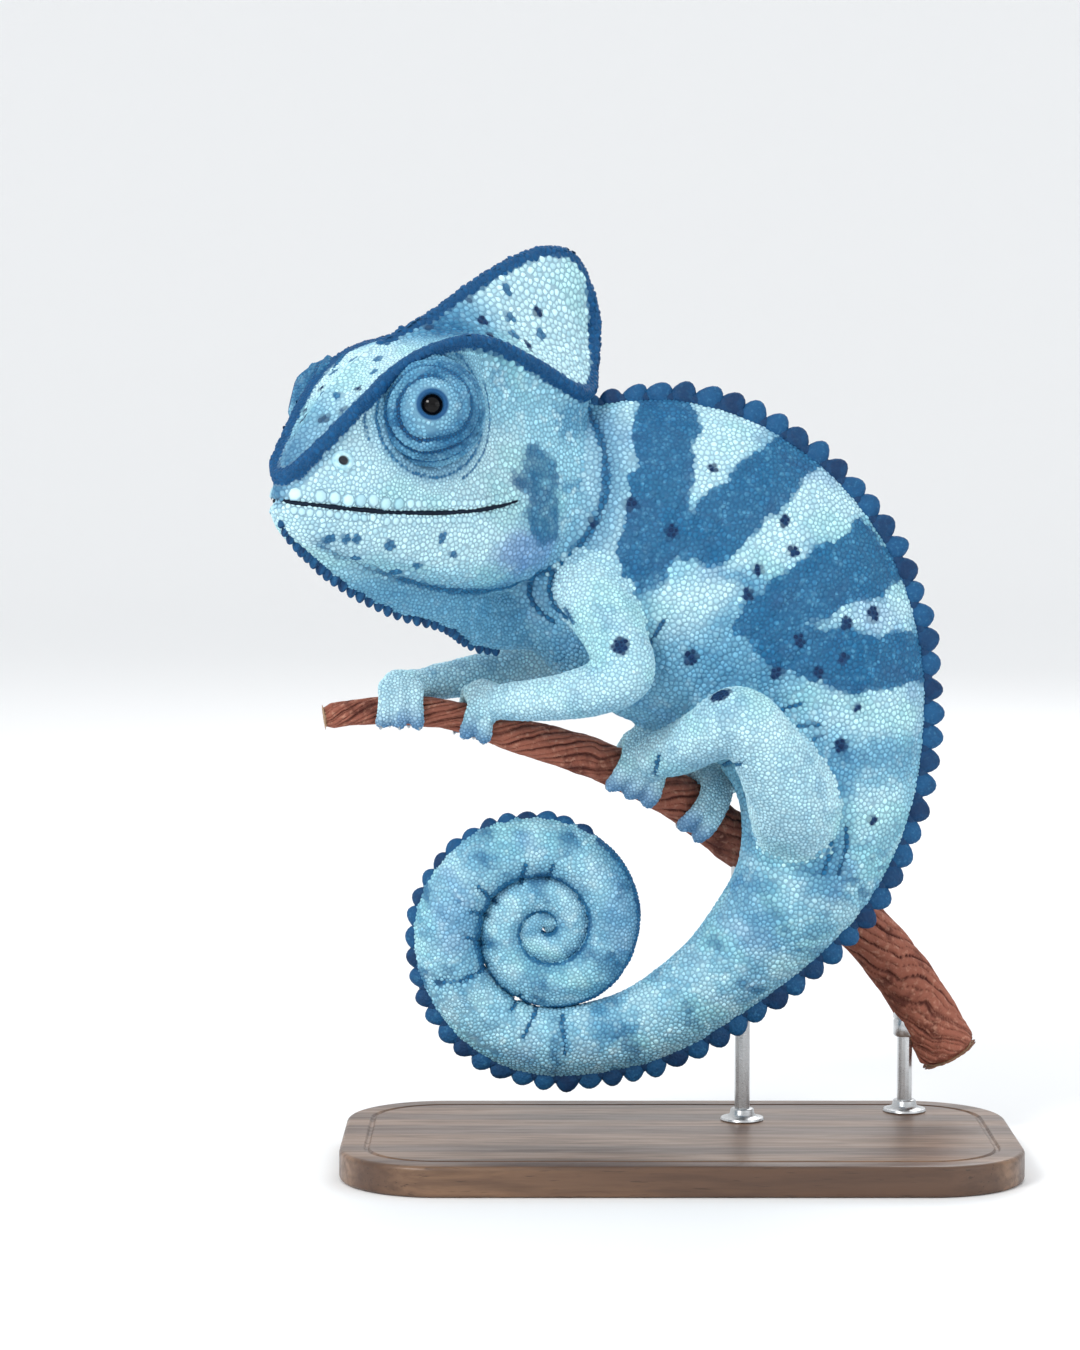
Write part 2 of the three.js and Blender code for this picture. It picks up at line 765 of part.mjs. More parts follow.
// ---------------------------------------------------------------- feet
// Where a point of a foot lies: an angle round the branch from its top, a lift off it and a slide along it.
// way is 1 on the outer side of the foot and -1 on the inner.
function footPlace(limb, way) {
  const hold = branchAt(limb.holdX);
  const outward = hold.out.clone().multiplyScalar(-limb.side * way);
  const place = (angle, lift, slide) =>
    hold.centre
      .clone()
      .addScaledVector(hold.up, Math.cos(angle) * (hold.radius + lift))
      .addScaledVector(outward, Math.sin(angle) * (hold.radius + lift))
      .addScaledVector(hold.along, slide);
  return { hold, place };
}

// Middle of toe number i of count, measured along the branch, with the toes spread a little at their tips
function toeSlide(limb, i, count, share) {
  return (i - (count - 1) / 2) * limb.toe * TOE_SPACING * (1 + TOE_SPREAD * share);
}

// Two or three toes fused side by side and bent round the branch: a lobe for each toe, flat against the bark.
function toeBundle(limb, way, count) {
  const { place } = footPlace(limb, way);
  const rings = [];
  for (let step = 0; step <= TOE_STEPS; step++) {
    const share = step / TOE_STEPS;
    const angle = THREE.MathUtils.lerp(TOE_START, TOE_WRAP, share);
    const thick = limb.toe * (1 - 0.3 * share);
    const floor = PARTING + 0.2 + 0.5 * Math.sin(Math.PI * share);
    const ring = [];
    for (let i = 0; i < count; i++) {
      for (const turn of [-0.62, 0.62]) {
        const lift = floor + thick * (0.9 + Math.cos(turn));
        ring.push(place(angle, lift, toeSlide(limb, i, count, share) + thick * Math.sin(turn)));
      }
    }
    const edge = toeSlide(limb, count - 1, count, share) + thick * 0.75;
    ring.push(place(angle, floor, edge), place(angle, floor, -edge));
    rings.push(ring);
  }
  return loft(rings);
}

function clawSolid(limb, way, i, count) {
  const { hold, place } = footPlace(limb, way);
  const path = [];
  for (let step = 0; step <= CLAW_STEPS; step++) {
    const share = step / CLAW_STEPS;
    const angle = TOE_WRAP - 0.12 + (CLAW_LENGTH * share) / (hold.radius + limb.toe);
    const lift = THREE.MathUtils.lerp(limb.toe * 0.9 + 0.6, CLAW_RADIUS * 0.5 + PARTING, share ** 1.5);
    const centre = place(angle, lift, toeSlide(limb, i, count, 1 + 0.2 * share));
    path.push([...centre.toArray(), CLAW_RADIUS * (1 - 0.78 * share)]);
  }
  return tube(path, { steps: CLAW_STEPS, sides: 3, across: hold.along });
}

function toesSolid(limb, way, count) {
  const claws = [];
  for (let i = 0; i < count; i++) claws.push(clawSolid(limb, way, i, count));
  return joined([toeBundle(limb, way, count), ...claws]);
}

// The palm: a flattened ball over the branch, from which both bundles of toes grow.
function palmSolid(limb) {
  const hold = branchAt(limb.holdX);
  const outward = hold.out.clone().multiplyScalar(-limb.side);
  const lift = hold.radius + limb.toe * 1.25;
  const centre = hold.centre
    .clone()
    .addScaledVector(hold.up, Math.cos(PALM_TILT) * lift)
    .addScaledVector(outward, Math.sin(PALM_TILT) * lift * 0.6);
  const ball = new THREE.SphereGeometry(1, 8, 5);
  ball.scale(limb.toe * 2.6, limb.toe * 2.9, limb.toe * 1.75);
  const across = new THREE.Vector3().crossVectors(hold.up, hold.along);
  const turn = new THREE.Matrix4().makeBasis(hold.along, across, hold.up);
  ball.applyMatrix4(turn);
  ball.translate(centre.x, centre.y, centre.z);
  return solid(ball);
}

// The heel spur behind a hind foot
function spurSolid(limb) {
  const hold = branchAt(limb.holdX);
  const lean = hold.along.clone().multiplyScalar(0.9).addScaledVector(hold.up, 0.35).normalize();
  const spur = new THREE.ConeGeometry(SPUR_RADIUS, SPUR_HEIGHT, 5);
  spur.translate(0, SPUR_HEIGHT / 2, 0);
  spur.applyQuaternion(new THREE.Quaternion().setFromUnitVectors(new THREE.Vector3(0, 1, 0), lean));
  const root = hold.centre
    .clone()
    .addScaledVector(hold.up, hold.radius + limb.toe * 1.9)
    .addScaledVector(hold.along, limb.toe * 1.8);
  spur.translate(root.x, root.y, root.z);
  return solid(spur);
}

// A limb's upper or lower part: its tube, cut square at the knee or elbow. With grow, the room it takes.
function limbSolid(limb, part, grow = 0) {
  const last = limb.path.length - 1;
  const bend = limb.joint / last;
  const [from, to] = part === "upper" ? [0, bend + BEND_LAP] : [bend - BEND_LAP, 1];
  const steps = Math.round((to - from) * last * LIMB_STEPS);
  const whole = tube(limb.path, { from, to, steps, sides: LIMB_SIDES, grow });
  const line = new THREE.CatmullRomCurve3(limb.path.map(([x, y, z]) => new THREE.Vector3(x, y, z)));
  const way = line.getTangent(bend).multiplyScalar(part === "upper" ? 1 : -1);
  const block = new THREE.BoxGeometry(100, 100, 100);
  block.translate(0, 0, 50 - PARTING / 2 + grow);
  block.applyQuaternion(new THREE.Quaternion().setFromUnitVectors(new THREE.Vector3(0, 0, 1), way));
  const { x, y, z } = line.getPoint(bend);
  block.translate(x, y, z);
  return largest(whole.subtract(solid(block)));
}

// ---------------------------------------------------------------- stand
function baseSolid() {
  const half = { x: BASE_LENGTH / 2 - BASE_CHAMFER, y: BASE_WIDTH / 2 - BASE_CHAMFER };
  const corner = BASE_CORNER - BASE_CHAMFER;
  const outline = new THREE.Shape();
  outline.moveTo(half.x - corner, -half.y);
  outline.absarc(half.x - corner, -half.y + corner, corner, -Math.PI / 2, 0);
  outline.absarc(half.x - corner, half.y - corner, corner, 0, Math.PI / 2);
  outline.absarc(-half.x + corner, half.y - corner, corner, Math.PI / 2, Math.PI);
  outline.absarc(-half.x + corner, -half.y + corner, corner, Math.PI, 1.5 * Math.PI);
  const geometry = new THREE.ExtrudeGeometry(outline, {
    depth: BASE_HEIGHT - 2 * BASE_CHAMFER,
    bevelEnabled: true,
    bevelThickness: BASE_CHAMFER,
    bevelSize: BASE_CHAMFER,
    bevelSegments: 1,
    curveSegments: 2,
  });
  geometry.translate(0, 0, BASE_CHAMFER);
  return solid(geometry);
}

// A rod, or with grow its socket, from inside the base up into the branch above it
function rodSolid(x, grow) {
  const { centre, radius } = branchAt(x);
  const low = BASE_HEIGHT - ROD_SOCKET - grow;
  const high = centre.z - radius + ROD_SOCKET + grow;
  const geometry = new THREE.CylinderGeometry(ROD_RADIUS + grow, ROD_RADIUS + grow, high - low, ROD_SIDES);
  geometry.rotateX(Math.PI / 2);
  geometry.translate(centre.x, centre.y, (low + high) / 2);
  return solid(geometry);
}

// ---------------------------------------------------------------- assembly
const group = new THREE.Group();
group.name = "veiled_chameleon";

const FINISHES = {
  skin: { color: 0x6fb0cf, roughness: 0.62, metalness: 0 },
  eye: { color: 0x0b1118, roughness: 0.08, metalness: 0 },
  bark: { color: 0x6b4034, roughness: 0.85, metalness: 0 },
  wood: { color: 0x3a2a20, roughness: 0.5, metalness: 0 },
  steel: { color: 0xb9bcc0, roughness: 0.28, metalness: 1 },
};
const materials = {};
for (const [name, finish] of Object.entries(FINISHES)) {
  materials[name] = new THREE.MeshStandardMaterial({ name, ...finish });
}

function add(name, finish, whole) {
  const mesh = new THREE.Mesh(geometryOf(largest(whole)), materials[finish]);
  mesh.name = name;
  group.add(mesh);
}

const wholeHead = headSolid(0);
const headRoom = headSolid(PARTING);
const trunkRoom = bodyLength(0, TAIL_BASE + 3, TRUNK_CLEARANCE);
const turretRoom = { 1: turretSolid(1, PARTING), [-1]: turretSolid(-1, PARTING) };
const branchRoom = branchSolid(PARTING);

// Head
add("head", "skin", wholeHead.subtract(mouthCutter(0)).subtract(turretRoom[1]).subtract(turretRoom[-1]));
add("lower_jaw", "skin", wholeHead.intersect(mouthCutter(PARTING)));
add("throat", "skin", throatSolid().subtract(headRoom).subtract(trunkRoom));
for (const [name, side] of [
  ["left", 1],
  ["right", -1],
]) {
  add(`eye_turret_${name}`, "skin", turretSolid(side, 0));
  add(`eyeball_${name}`, "eye", eyeballSolid(side));
}

// Body and tail in lengths, by station number
const LENGTHS = [
  ["neck", 0, 2],
  ["trunk_front", 2, 4.8],
  ["trunk_rear", 4.8, 8],
  ["pelvis", 8, TAIL_BASE],
  ["tail_1", TAIL_BASE, TAIL_BASE + 3],
  ["tail_2", TAIL_BASE + 3, COIL_FIRST + 2],
  ["tail_3", COIL_FIRST + 2, COIL_FIRST + 5],
  ["tail_4", COIL_FIRST + 5, COIL_FIRST + 8.5],
  ["tail_5", COIL_FIRST + 8.5, COIL_FIRST + 12],
  ["tail_6", COIL_FIRST + 12, COIL_FIRST + 17],
  ["tail_7", COIL_FIRST + 17, COIL_FIRST + 24],
  ["tail_8", COIL_FIRST + 24, LAST],
];
for (const [name, from, to] of LENGTHS) {
  const piece = bodyPiece(from, to);
  add(name, "skin", name === "neck" ? piece.subtract(headRoom) : piece);
}

// Limbs
for (const limb of LIMBS) {
  const legRoom = limbSolid(limb, "upper", PARTING).add(limbSolid(limb, "lower", PARTING));
  const foot = [palmSolid(limb), toesSolid(limb, 1, limb.outerToes), toesSolid(limb, -1, limb.innerToes)];
  if (limb.name.startsWith("hind")) foot.push(spurSolid(limb));
  const upper = limbSolid(limb, "upper").subtract(trunkRoom).subtract(headRoom);
  const lower = limbSolid(limb, "lower").subtract(trunkRoom).subtract(branchRoom);
  add(`${limb.name}_upper_leg`, "skin", upper);
  add(`${limb.name}_lower_leg`, "skin", lower);
  add(`${limb.name}_foot`, "skin", joined(foot).subtract(legRoom).subtract(branchRoom));
}

// Perch and stand
const rods = [
  ["stand_rod_middle", ROD_MIDDLE_X],
  ["stand_rod_end", ROD_END_X],
];
const sockets = joined(rods.map(([, x]) => rodSolid(x, PARTING / 2)));
add("perch_branch", "bark", branchSolid().subtract(sockets));
add("stand_base", "wood", baseSolid().subtract(sockets));
for (const [name, x] of rods) add(name, "steel", rodSolid(x, 0));

export default group;
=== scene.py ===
"""Veiled chameleon at life size, gripping a cut branch that two steel rods hold over a display base.

Sizes are in millimetres until a mesh is made. The animal faces -X and its left side faces -Y. The skin is one
mesh over trunk, tail, head, throat, limbs and toes; scales, crests, claws and eyes are pieces of their own.
"""

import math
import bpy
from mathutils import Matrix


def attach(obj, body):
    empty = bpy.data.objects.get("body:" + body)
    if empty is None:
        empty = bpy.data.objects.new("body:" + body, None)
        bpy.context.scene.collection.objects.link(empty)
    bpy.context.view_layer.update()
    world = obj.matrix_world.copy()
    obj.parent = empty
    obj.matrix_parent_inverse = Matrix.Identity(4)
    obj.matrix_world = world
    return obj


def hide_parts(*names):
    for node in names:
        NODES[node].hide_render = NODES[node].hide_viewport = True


bl_info = {
    "name": "Veiled Chameleon",
    "version": (1, 0, 0),
    "blender": (4, 5, 0),
    "location": "View3D > Sidebar > Chameleon",
    "description": "Builds a scaled veiled chameleon on its perch and stand over the packed frame",
    "category": "Object",
}

import bmesh
import bpy
import numpy as np
from bpy.props import FloatProperty, FloatVectorProperty, IntProperty, PointerProperty
from mathutils import Matrix, Vector, kdtree
from mathutils.bvhtree import BVHTree

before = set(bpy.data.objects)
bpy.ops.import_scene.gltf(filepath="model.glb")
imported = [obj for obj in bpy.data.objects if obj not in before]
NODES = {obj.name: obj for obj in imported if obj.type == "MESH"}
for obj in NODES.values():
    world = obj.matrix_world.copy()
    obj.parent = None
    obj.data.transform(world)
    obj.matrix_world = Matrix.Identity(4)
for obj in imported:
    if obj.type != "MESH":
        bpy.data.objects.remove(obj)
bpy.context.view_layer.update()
BODY = "root"
MM = 0.001
TAU = 2 * math.pi

# ---------------------------------------------------------------- measures shared with the frame
# Trunk, nape to tail: x, y, z, half height, half width
TRUNK = (
    (-45.5, -4, 170.5, 19, 11.5), (-36.1, -1, 168.4, 29.5, 15.5), (-22.9, 0, 164.8, 37, 18),
    (-9.9, 0, 160.6, 41.4, 20), (2.6, 0, 155.4, 42.6, 21), (14.3, 0, 147.9, 41.4, 21),
    (24.4, 0, 138, 38.4, 20), (31.7, 0, 126.6, 33.8, 18.5), (36.1, 0, 113.8, 29, 17),
    (38, 0, 100.3, 24.6, 15.5), (36.4, 0, 86.5, 21.2, 14.2), (31.2, 0, 73.3, 18, 12.8),
    (22.4, 0, 61.3, 15, 11.2), (10.9, 0, 49.9, 12.6, 10), (-2.1, 0, 40.3, 11.2, 9.2),
    (-15, 0, 34.4, 10.2, 8.6),
)
COIL_FIRST = len(TRUNK)
COIL_AT = (-35.1, 61.8)
COIL_STEPS = 14  # stations in one turn of the tail's coil
COIL_TURNS = 2.72
COIL_GAP = 0.4
# Turns before the coil's end, then the radius of the coil's outer edge there
COIL_EDGE = ((3, 39.4), (2.5, 28.4), (2, 20), (1.5, 13.8), (1, 8.6), (0.5, 4.4), (0, 1.3))
TAIL_FLATNESS = 0.86
TAIL_BASE = 11

CREST_START = 0.9
CREST_PITCH = 6.3
CREST_HEIGHT = 4.6
CREST_TAIL = 2.4 / 4.6
CREST_END = COIL_FIRST + 0.57 * COIL_STEPS

HEAD_AT = (-36.9, -1.8, 169.7)
HEAD_YAW = math.radians(42)
HEAD_PITCH = math.radians(3)
# Profiles of the head from snout to casque: u forward of the jaw joint, then the level or half width there
HEAD_TOP = (
    (86, 6), (83.5, 12), (78, 20.5), (70, 30.5), (60, 39), (50, 44.5), (40, 49), (30, 55), (20, 61), (10, 66),
    (0, 69), (-6, 68.5), (-12, 64.5), (-16, 56),
)
HEAD_BOTTOM = (
    (86, -3.5), (83.5, -7), (77, -11.5), (66, -15.5), (52, -19), (38, -21.5), (24, -22), (12, -20), (3, -14),
    (-3, -3), (-7, 14), (-11.5, 30), (-16, 46),
)
RIDGE_OUT = (
    (86, 2.6), (81.5, 6), (74, 10), (66, 13), (56, 14.8), (46, 15.8), (36, 16.2), (24, 16), (12, 16),
    (0, 15.4), (-7, 12), (-12, 7), (-16, 2.4),
)
RIDGE_UP = (
    (86, 5), (81.5, 11.2), (74, 20), (68, 27), (62, 33), (56, 37.2), (50, 40), (40, 42.5), (30, 42), (20, 39),
    (10, 35.2), (0, 31.5), (-7, 32), (-12, 40), (-16, 51),
)
CHEEK_OUT = (
    (86, 2.8), (82.5, 6), (75, 9.8), (64, 12.6), (50, 14.6), (36, 16.2), (22, 17.4), (10, 17.8), (0, 16.5),
    (-5, 13), (-10.5, 7), (-16, 2.2),
)
SNOUT = 86.0
CASQUE_BACK = -16.0
MOUTH = ((96, 1.5), (44, -4.5), (21, 3.5))  # front, middle and corner of the mouth line as u, w

EYE_AT = (49.5, 13, 24)
GAZE = {1: (0.75, 1, 0.12), -1: (1, 0.75, 0.25)}  # left eye to the side, right eye to the front
EYE_OUT = {1: 0, -1: 2.5}  # how far each eye is pushed out
TURRET_RADIUS = 14.0
TURRET_HEIGHT = 16.0
EYEBALL_RADIUS = 4.2
EYEBALL_DEEP = TURRET_HEIGHT - EYEBALL_RADIUS - 0.7

# Branch: x, y, z, radius
BRANCH = (
    (-92.5, -2.5, 117.4, 3.4), (-82, -1, 118.8, 3.6), (-72.8, 0, 118.9, 3.8), (-62.4, 0, 118, 4),
    (-52.5, 0, 115.9, 4.3), (-42, 0.3, 112.6, 4.7), (-31.2, 1.2, 109.1, 5), (-20.5, 2.6, 105.3, 5.4),
    (-10.4, 5, 100.8, 5.8), (-1.6, 8.4, 96, 6.1), (7, 12, 89.8, 6.4), (21.9, 19, 78.4, 6.9),
    (32.8, 23, 71.6, 7.1), (49, 27, 59.6, 7.4), (60.8, 29.5, 45.4, 7.7), (70.4, 31, 30.6, 8),
    (74.4, 31.6, 23.2, 8),
)

# Limbs: side, place on the branch, outer and inner toes, toe radius, then x, y, z, radius from the body
LIMBS = {
    "front_left": (-1, -52.5, 2, 3, 2.5, (
        (-27.5, -7, 157, 9.2), (-22.5, -17, 149, 9.4), (-17, -24, 138.5, 8.6), (-14.8, -27, 130.6, 7.4),
        (-23, -24.5, 126, 6.9), (-36, -16.5, 123, 6.2), (-47, -8.4, 121.8, 5.2))),
    "front_right": (1, -72.8, 2, 3, 2.4, (
        (-29.5, 7, 156, 9), (-29.5, 17, 149.5, 9), (-29, 24, 142, 8.4), (-30.5, 26.5, 134.6, 7.2),
        (-40, 23, 130.2, 6.7), (-53, 15, 127.2, 6), (-66.5, 7.6, 125.2, 5))),
    "hind_left": (-1, -12.6, 3, 2, 2.8, (
        (31, -4, 88, 12), (28.4, -13.5, 97.5, 11.8), (21.8, -21.5, 109.5, 10.2), (14.4, -25, 118.6, 8.4),
        (7.6, -21, 115.2, 7.9), (-1, -13, 109.6, 7.2), (-7.4, -6, 107.2, 6.2))),
    "hind_right": (1, 4, 3, 2, 2.8, (
        (31, 4, 90, 11), (29.5, 15, 98, 10.6), (26, 24, 107, 9.4), (21.5, 31, 113.6, 8),
        (18, 31.5, 107.5, 7.4), (13.5, 24.5, 102.4, 6.8), (8, 17.5, 100, 6))),
}
TOE_START = math.radians(14)
TOE_WRAP = math.radians(128)
TOE_SPACING = 1.6
TOE_SPREAD = 0.28
CLAW_LENGTH = 4.2
CLAW_RADIUS = 1.0

BASE_SIZE = (176.0, 92.0, 8.0)
BASE_CORNER = 26.0
RODS = {"stand_rod_middle": 17.5, "stand_rod_end": 62.0}

# Zones of the skin
TRUNK_ZONE, TAIL_ZONE, HEAD_ZONE, THROAT_ZONE, LIMB_ZONE, FOOT_ZONE = range(6)


# ---------------------------------------------------------------- curves
def mixed(a, b, share):
    return a + (b - a) * share


def smooth(low, high, value):
    """0 below low, 1 above high and a soft step between; low above high turns it round."""
    share = np.clip((np.asarray(value, float) - low) / (high - low), 0, 1)
    return share * share * (3 - 2 * share)


def unit(vectors):
    vectors = np.asarray(vectors, float)
    return vectors / np.maximum(np.linalg.norm(vectors, axis=-1, keepdims=True), 1e-9)


def norms(vectors):
    return np.linalg.norm(vectors, axis=-1)


def curve(points):
    """A centripetal curve through points, as a function of the share of its length in points."""
    knots = np.asarray(points, float)
    padded = np.vstack([2 * knots[0] - knots[1], knots, 2 * knots[-1] - knots[-2]])
    count = len(knots)

    def at(share):
        place = np.clip(np.asarray(share, float), 0, 1) * (count - 1)
        first = np.minimum(place.astype(int), count - 2)
        t = (place - first)[..., None]
        p0, p1, p2, p3 = (padded[first + i] for i in range(4))
        pairs = ((p0, p1), (p1, p2), (p2, p3))
        d0, d1, d2 = (np.linalg.norm(b - a, axis=-1, keepdims=True) ** 0.5 for a, b in pairs)
        d1 = np.where(d1 < 1e-4, 1.0, d1)
        d0 = np.where(d0 < 1e-4, d1, d0)
        d2 = np.where(d2 < 1e-4, d1, d2)
        m1 = ((p1 - p0) / d0 - (p2 - p0) / (d0 + d1) + (p2 - p1) / d1) * d1
        m2 = ((p2 - p1) / d1 - (p3 - p1) / (d1 + d2) + (p3 - p2) / d2) * d1
        return p1 + m1 * t + (3 * (p2 - p1) - 2 * m1 - m2) * t**2 + (2 * (p1 - p2) + m1 + m2) * t**3

    return at


def heading(line, share):
    """Unit direction of a curve."""
    return unit(line(np.asarray(share, float) + 1e-4) - line(np.asarray(share, float) - 1e-4))


def keyed(keys):
    """Smooth value between place, value keys whose places fall."""
    places = np.array([k[0] for k in keys], float)
    values = np.array([k[1] for k in keys], float)

    def at(u):
        u = np.clip(np.asarray(u, float), places[-1], places[0])
        i = np.clip(np.searchsorted(-places, -u, side="left") - 1, 0, len(keys) - 2)
        before, after = np.maximum(i - 1, 0), np.minimum(i + 2, len(keys) - 1)
        a, b, va, vb = places[i], places[i + 1], values[i], values[i + 1]
        slope_a = (vb - values[before]) / (b - places[before]) * (b - a)
        slope_b = (values[after] - va) / (places[after] - a) * (b - a)
        t = (a - u) / (a - b)
        return (
            va * (2 * t**3 - 3 * t**2 + 1) + slope_a * (t**3 - 2 * t**2 + t)
            + vb * (3 * t**2 - 2 * t**3) + slope_b * (t**3 - t**2)
        )

    return at


def waves(points, pitch, seed=0):
    """Soft seeded noise from -1 to 1: summed sines that cross in turned directions."""
    rng = np.random.default_rng(seed)
    total = np.zeros(len(points))
    for octave, weight in ((1.0, 0.55), (2.1, 0.3), (4.3, 0.15)):
        for _ in range(4):
            way = unit(rng.normal(size=3)) * TAU * octave / pitch
            total += weight * 0.5 * np.sin(points @ way + rng.uniform(0, TAU))
    return np.clip(total, -1, 1)


# ---------------------------------------------------------------- body, head and branch frames
def coil_station(turns):
    angle, left = TAU * turns, COIL_EDGE[0][0] - turns
    outer = float(coil_edge(left))
    inner = (float(coil_edge(max(left - 1, 0))) + COIL_GAP) * min(left, 1)
    radius, half = (outer + inner) / 2, (outer - inner) / 2
    x, z = COIL_AT[0] - radius * math.sin(angle), COIL_AT[1] - radius * math.cos(angle)
    return (x, 0.0, z, half, half * TAIL_FLATNESS)


coil_edge = keyed(COIL_EDGE)
STATIONS = TRUNK + tuple(coil_station(i / COIL_STEPS) for i in range(int(COIL_TURNS * COIL_STEPS) + 1))
LAST = len(STATIONS) - 1
spine_line = curve([s[:3] for s in STATIONS])
spine_size = curve([s[3:] for s in STATIONS])


def spine(number):
    """Centre, direction towards the back, direction to the left, and half sizes at a station number."""
    share = np.clip(np.asarray(number, float) / LAST, 0, 1)
    along = heading(spine_line, share)
    dorsal = unit(np.stack([-along[..., 2], np.zeros_like(share), along[..., 0]], -1))
    size = spine_size(share)
    return spine_line(share), dorsal, unit(np.cross(along, dorsal)), size[..., 0], size[..., 1]


def body_point(number, turn, grow):
    """A point of the trunk or tail: turn 0 is the back's ridge."""
    centre, dorsal, lateral, rise, wide = spine(number)
    up, side = np.cos(TAU * turn), np.sin(TAU * turn)
    out = np.sign(side) * np.abs(side) ** (1 + 0.4 * np.maximum(0, up))
    lift = (rise + grow) * up
    return centre + dorsal * lift[..., None] + lateral * ((wide + grow) * out * (1 - 0.12 * up))[..., None]


HEAD_TURN = np.array(
    (Matrix.Rotation(math.pi + HEAD_YAW, 3, "Z") @ Matrix.Rotation(-HEAD_PITCH, 3, "Y")).to_3x3()
)
head_top, head_bottom = keyed(HEAD_TOP), keyed(HEAD_BOTTOM)
ridge_out, ridge_up, cheek_out = keyed(RIDGE_OUT), keyed(RIDGE_UP), keyed(CHEEK_OUT)


def from_head(places):
    """Points of the head's own frame in the part's frame."""
    return np.asarray(places, float) @ HEAD_TURN.T + HEAD_AT


def to_head(points):
    return (np.asarray(points, float) - HEAD_AT) @ HEAD_TURN


def head_section(u):
    """The closed outline of the head at u, from the crown down the left side and up the right, as v, w."""
    top, floor, out, up, cheek = head_top(u), head_bottom(u), ridge_out(u), ridge_up(u), cheek_out(u)

    def down(share):
        return mixed(up, floor, share)

    half = [
        (0, top), (min(1.7, out * 0.4), top - 1.2), (out * 0.5, mixed(top, up, 0.62)), (out, up),
        (out * 0.9, down(0.08)), (mixed(out * 0.86, cheek, 0.35), down(0.28)),
        (mixed(out * 0.9, cheek, 0.8), down(0.48)), (cheek, down(0.64)), (cheek * 0.93, down(0.8)),
        (cheek * 0.64, down(0.93)), (0, floor),
    ]
    return half + [(-v, w) for v, w in half[-2:0:-1]]


def mouth_level(u):
    """Level of the closed mouth at u, up to its corner."""
    (u0, w0), (u1, w1), (u2, w2) = MOUTH
    a, b, c = u0 - 2 * u1 + u2, 2 * (u1 - u0), u0 - np.clip(np.asarray(u, float), u2, u0)
    t = (-b - np.sqrt(np.maximum(b * b - 4 * a * c, 0))) / (2 * a)
    return w0 * (1 - t) ** 2 + 2 * w1 * t * (1 - t) + w2 * t * t


branch_line = curve([b[:3] for b in BRANCH])
branch_size = curve([(b[3], 0, 0) for b in BRANCH])


def branch_at(x):
    """The branch where its centre line has this x."""
    low, high = 0.0, 1.0
    for _ in range(40):
        middle = (low + high) / 2
        low, high = (middle, high) if branch_line(middle)[0] < x else (low, middle)
    along = heading(branch_line, low)
    out = unit(np.array((0.0, -1.0, 0.0)) + along * along[1])  # towards the animal's left
    up = unit(np.cross(out, along))
    return {
        "centre": branch_line(low), "along": along, "out": out, "up": up if up[2] > 0 else -up,
        "radius": float(branch_size(low)[0]), "share": low,
    }


def foot_place(name, way):
    """Places round the branch for one half of a foot; way is 1 for its outer side and -1 for its inner."""
    side, hold_x = LIMBS[name][:2]
    hold = branch_at(hold_x)
    outward = hold["out"] * (-side * way)

    def place(angle, lift, slide):
        way_out = math.cos(angle) * hold["up"] + math.sin(angle) * outward
        return hold["centre"] + way_out * (hold["radius"] + lift) + hold["along"] * slide

    return hold, place


def toe_slide(toe, i, count, share):
    return (i - (count - 1) / 2) * toe * TOE_SPACING * (1 + TOE_SPREAD * share)


def crest_size(number):
    """Height of the crest as a share of its tallest."""
    rising = smooth(CREST_START - 1.2, CREST_START + 2, number)
    return rising * mixed(1, CREST_TAIL, smooth(9, CREST_END, number))


def crest_places():
    """Station numbers of the crest's spines, a pitch apart along the back's outer line."""
    numbers = np.arange(CREST_START, CREST_END, 0.02)
    centre, dorsal, _, rise, _ = spine(numbers)
    edge = centre + dorsal * rise[:, None]
    steps = np.append(0, norms(np.diff(edge, axis=0)))
    since, places = CREST_PITCH, []
    for number, step in zip(numbers, steps):
        since += step
        pitch = CREST_PITCH * float(crest_size(number)) ** 0.35
        if since >= pitch:
            places.append(float(number))
            since -= pitch
    return places


def eye_frame(side):
    """Foot and turn of an eye turret, whose axis is the local Z."""
    u, v, w = EYE_AT
    gaze = GAZE[side]
    foot = from_head((u, v * side, w))
    axis = unit(from_head((u + gaze[0], (v + gaze[1]) * side, w + gaze[2])) - foot)
    foot = foot + axis * EYE_OUT[side]
    return foot, turn_to(axis), axis


# ---------------------------------------------------------------- mesh making
UNWRAP = "OFBake"


def close_holes(bm):
    open_edges = [e for e in bm.edges if e.is_boundary]
    if open_edges:
        bmesh.ops.holes_fill(bm, edges=open_edges, sides=0)


def sleeve(bm, place, around, along):
    """A closed skin over the points of place(turns, shares), pulled from a grid, with both ends capped."""
    verts = bmesh.ops.create_grid(bm, x_segments=around, y_segments=along, size=0.5)["verts"]
    at = np.array([v.co.xy[:] for v in verts]) + 0.5
    points = place(np.clip(at[:, 0], 0, 1), np.clip(at[:, 1], 0, 1)) * MM
    for vert, point in zip(verts, points):
        vert.co = point
    bmesh.ops.remove_doubles(bm, verts=verts, dist=1e-6)
    close_holes(bm)


def grid_places(around, along):
    """Turns and shares of a sleeve's grid, one row for each share."""
    turn, share = np.meshgrid(np.arange(around) / around, np.linspace(0, 1, along + 1))
    return turn.ravel(), share.ravel()


def face_out(bm):
    bmesh.ops.recalc_face_normals(bm, faces=bm.faces)


def linked(name, mesh):
    """A smooth scene object with this mesh."""
    obj = bpy.data.objects.new(name, mesh)
    bpy.context.scene.collection.objects.link(obj)
    mesh.shade_smooth()
    return obj


def make_object(name, bm):
    """A scene object from a bmesh, which is freed."""
    mesh = bpy.data.meshes.new(name)
    bm.to_mesh(mesh)
    bm.free()
    return linked(name, mesh)


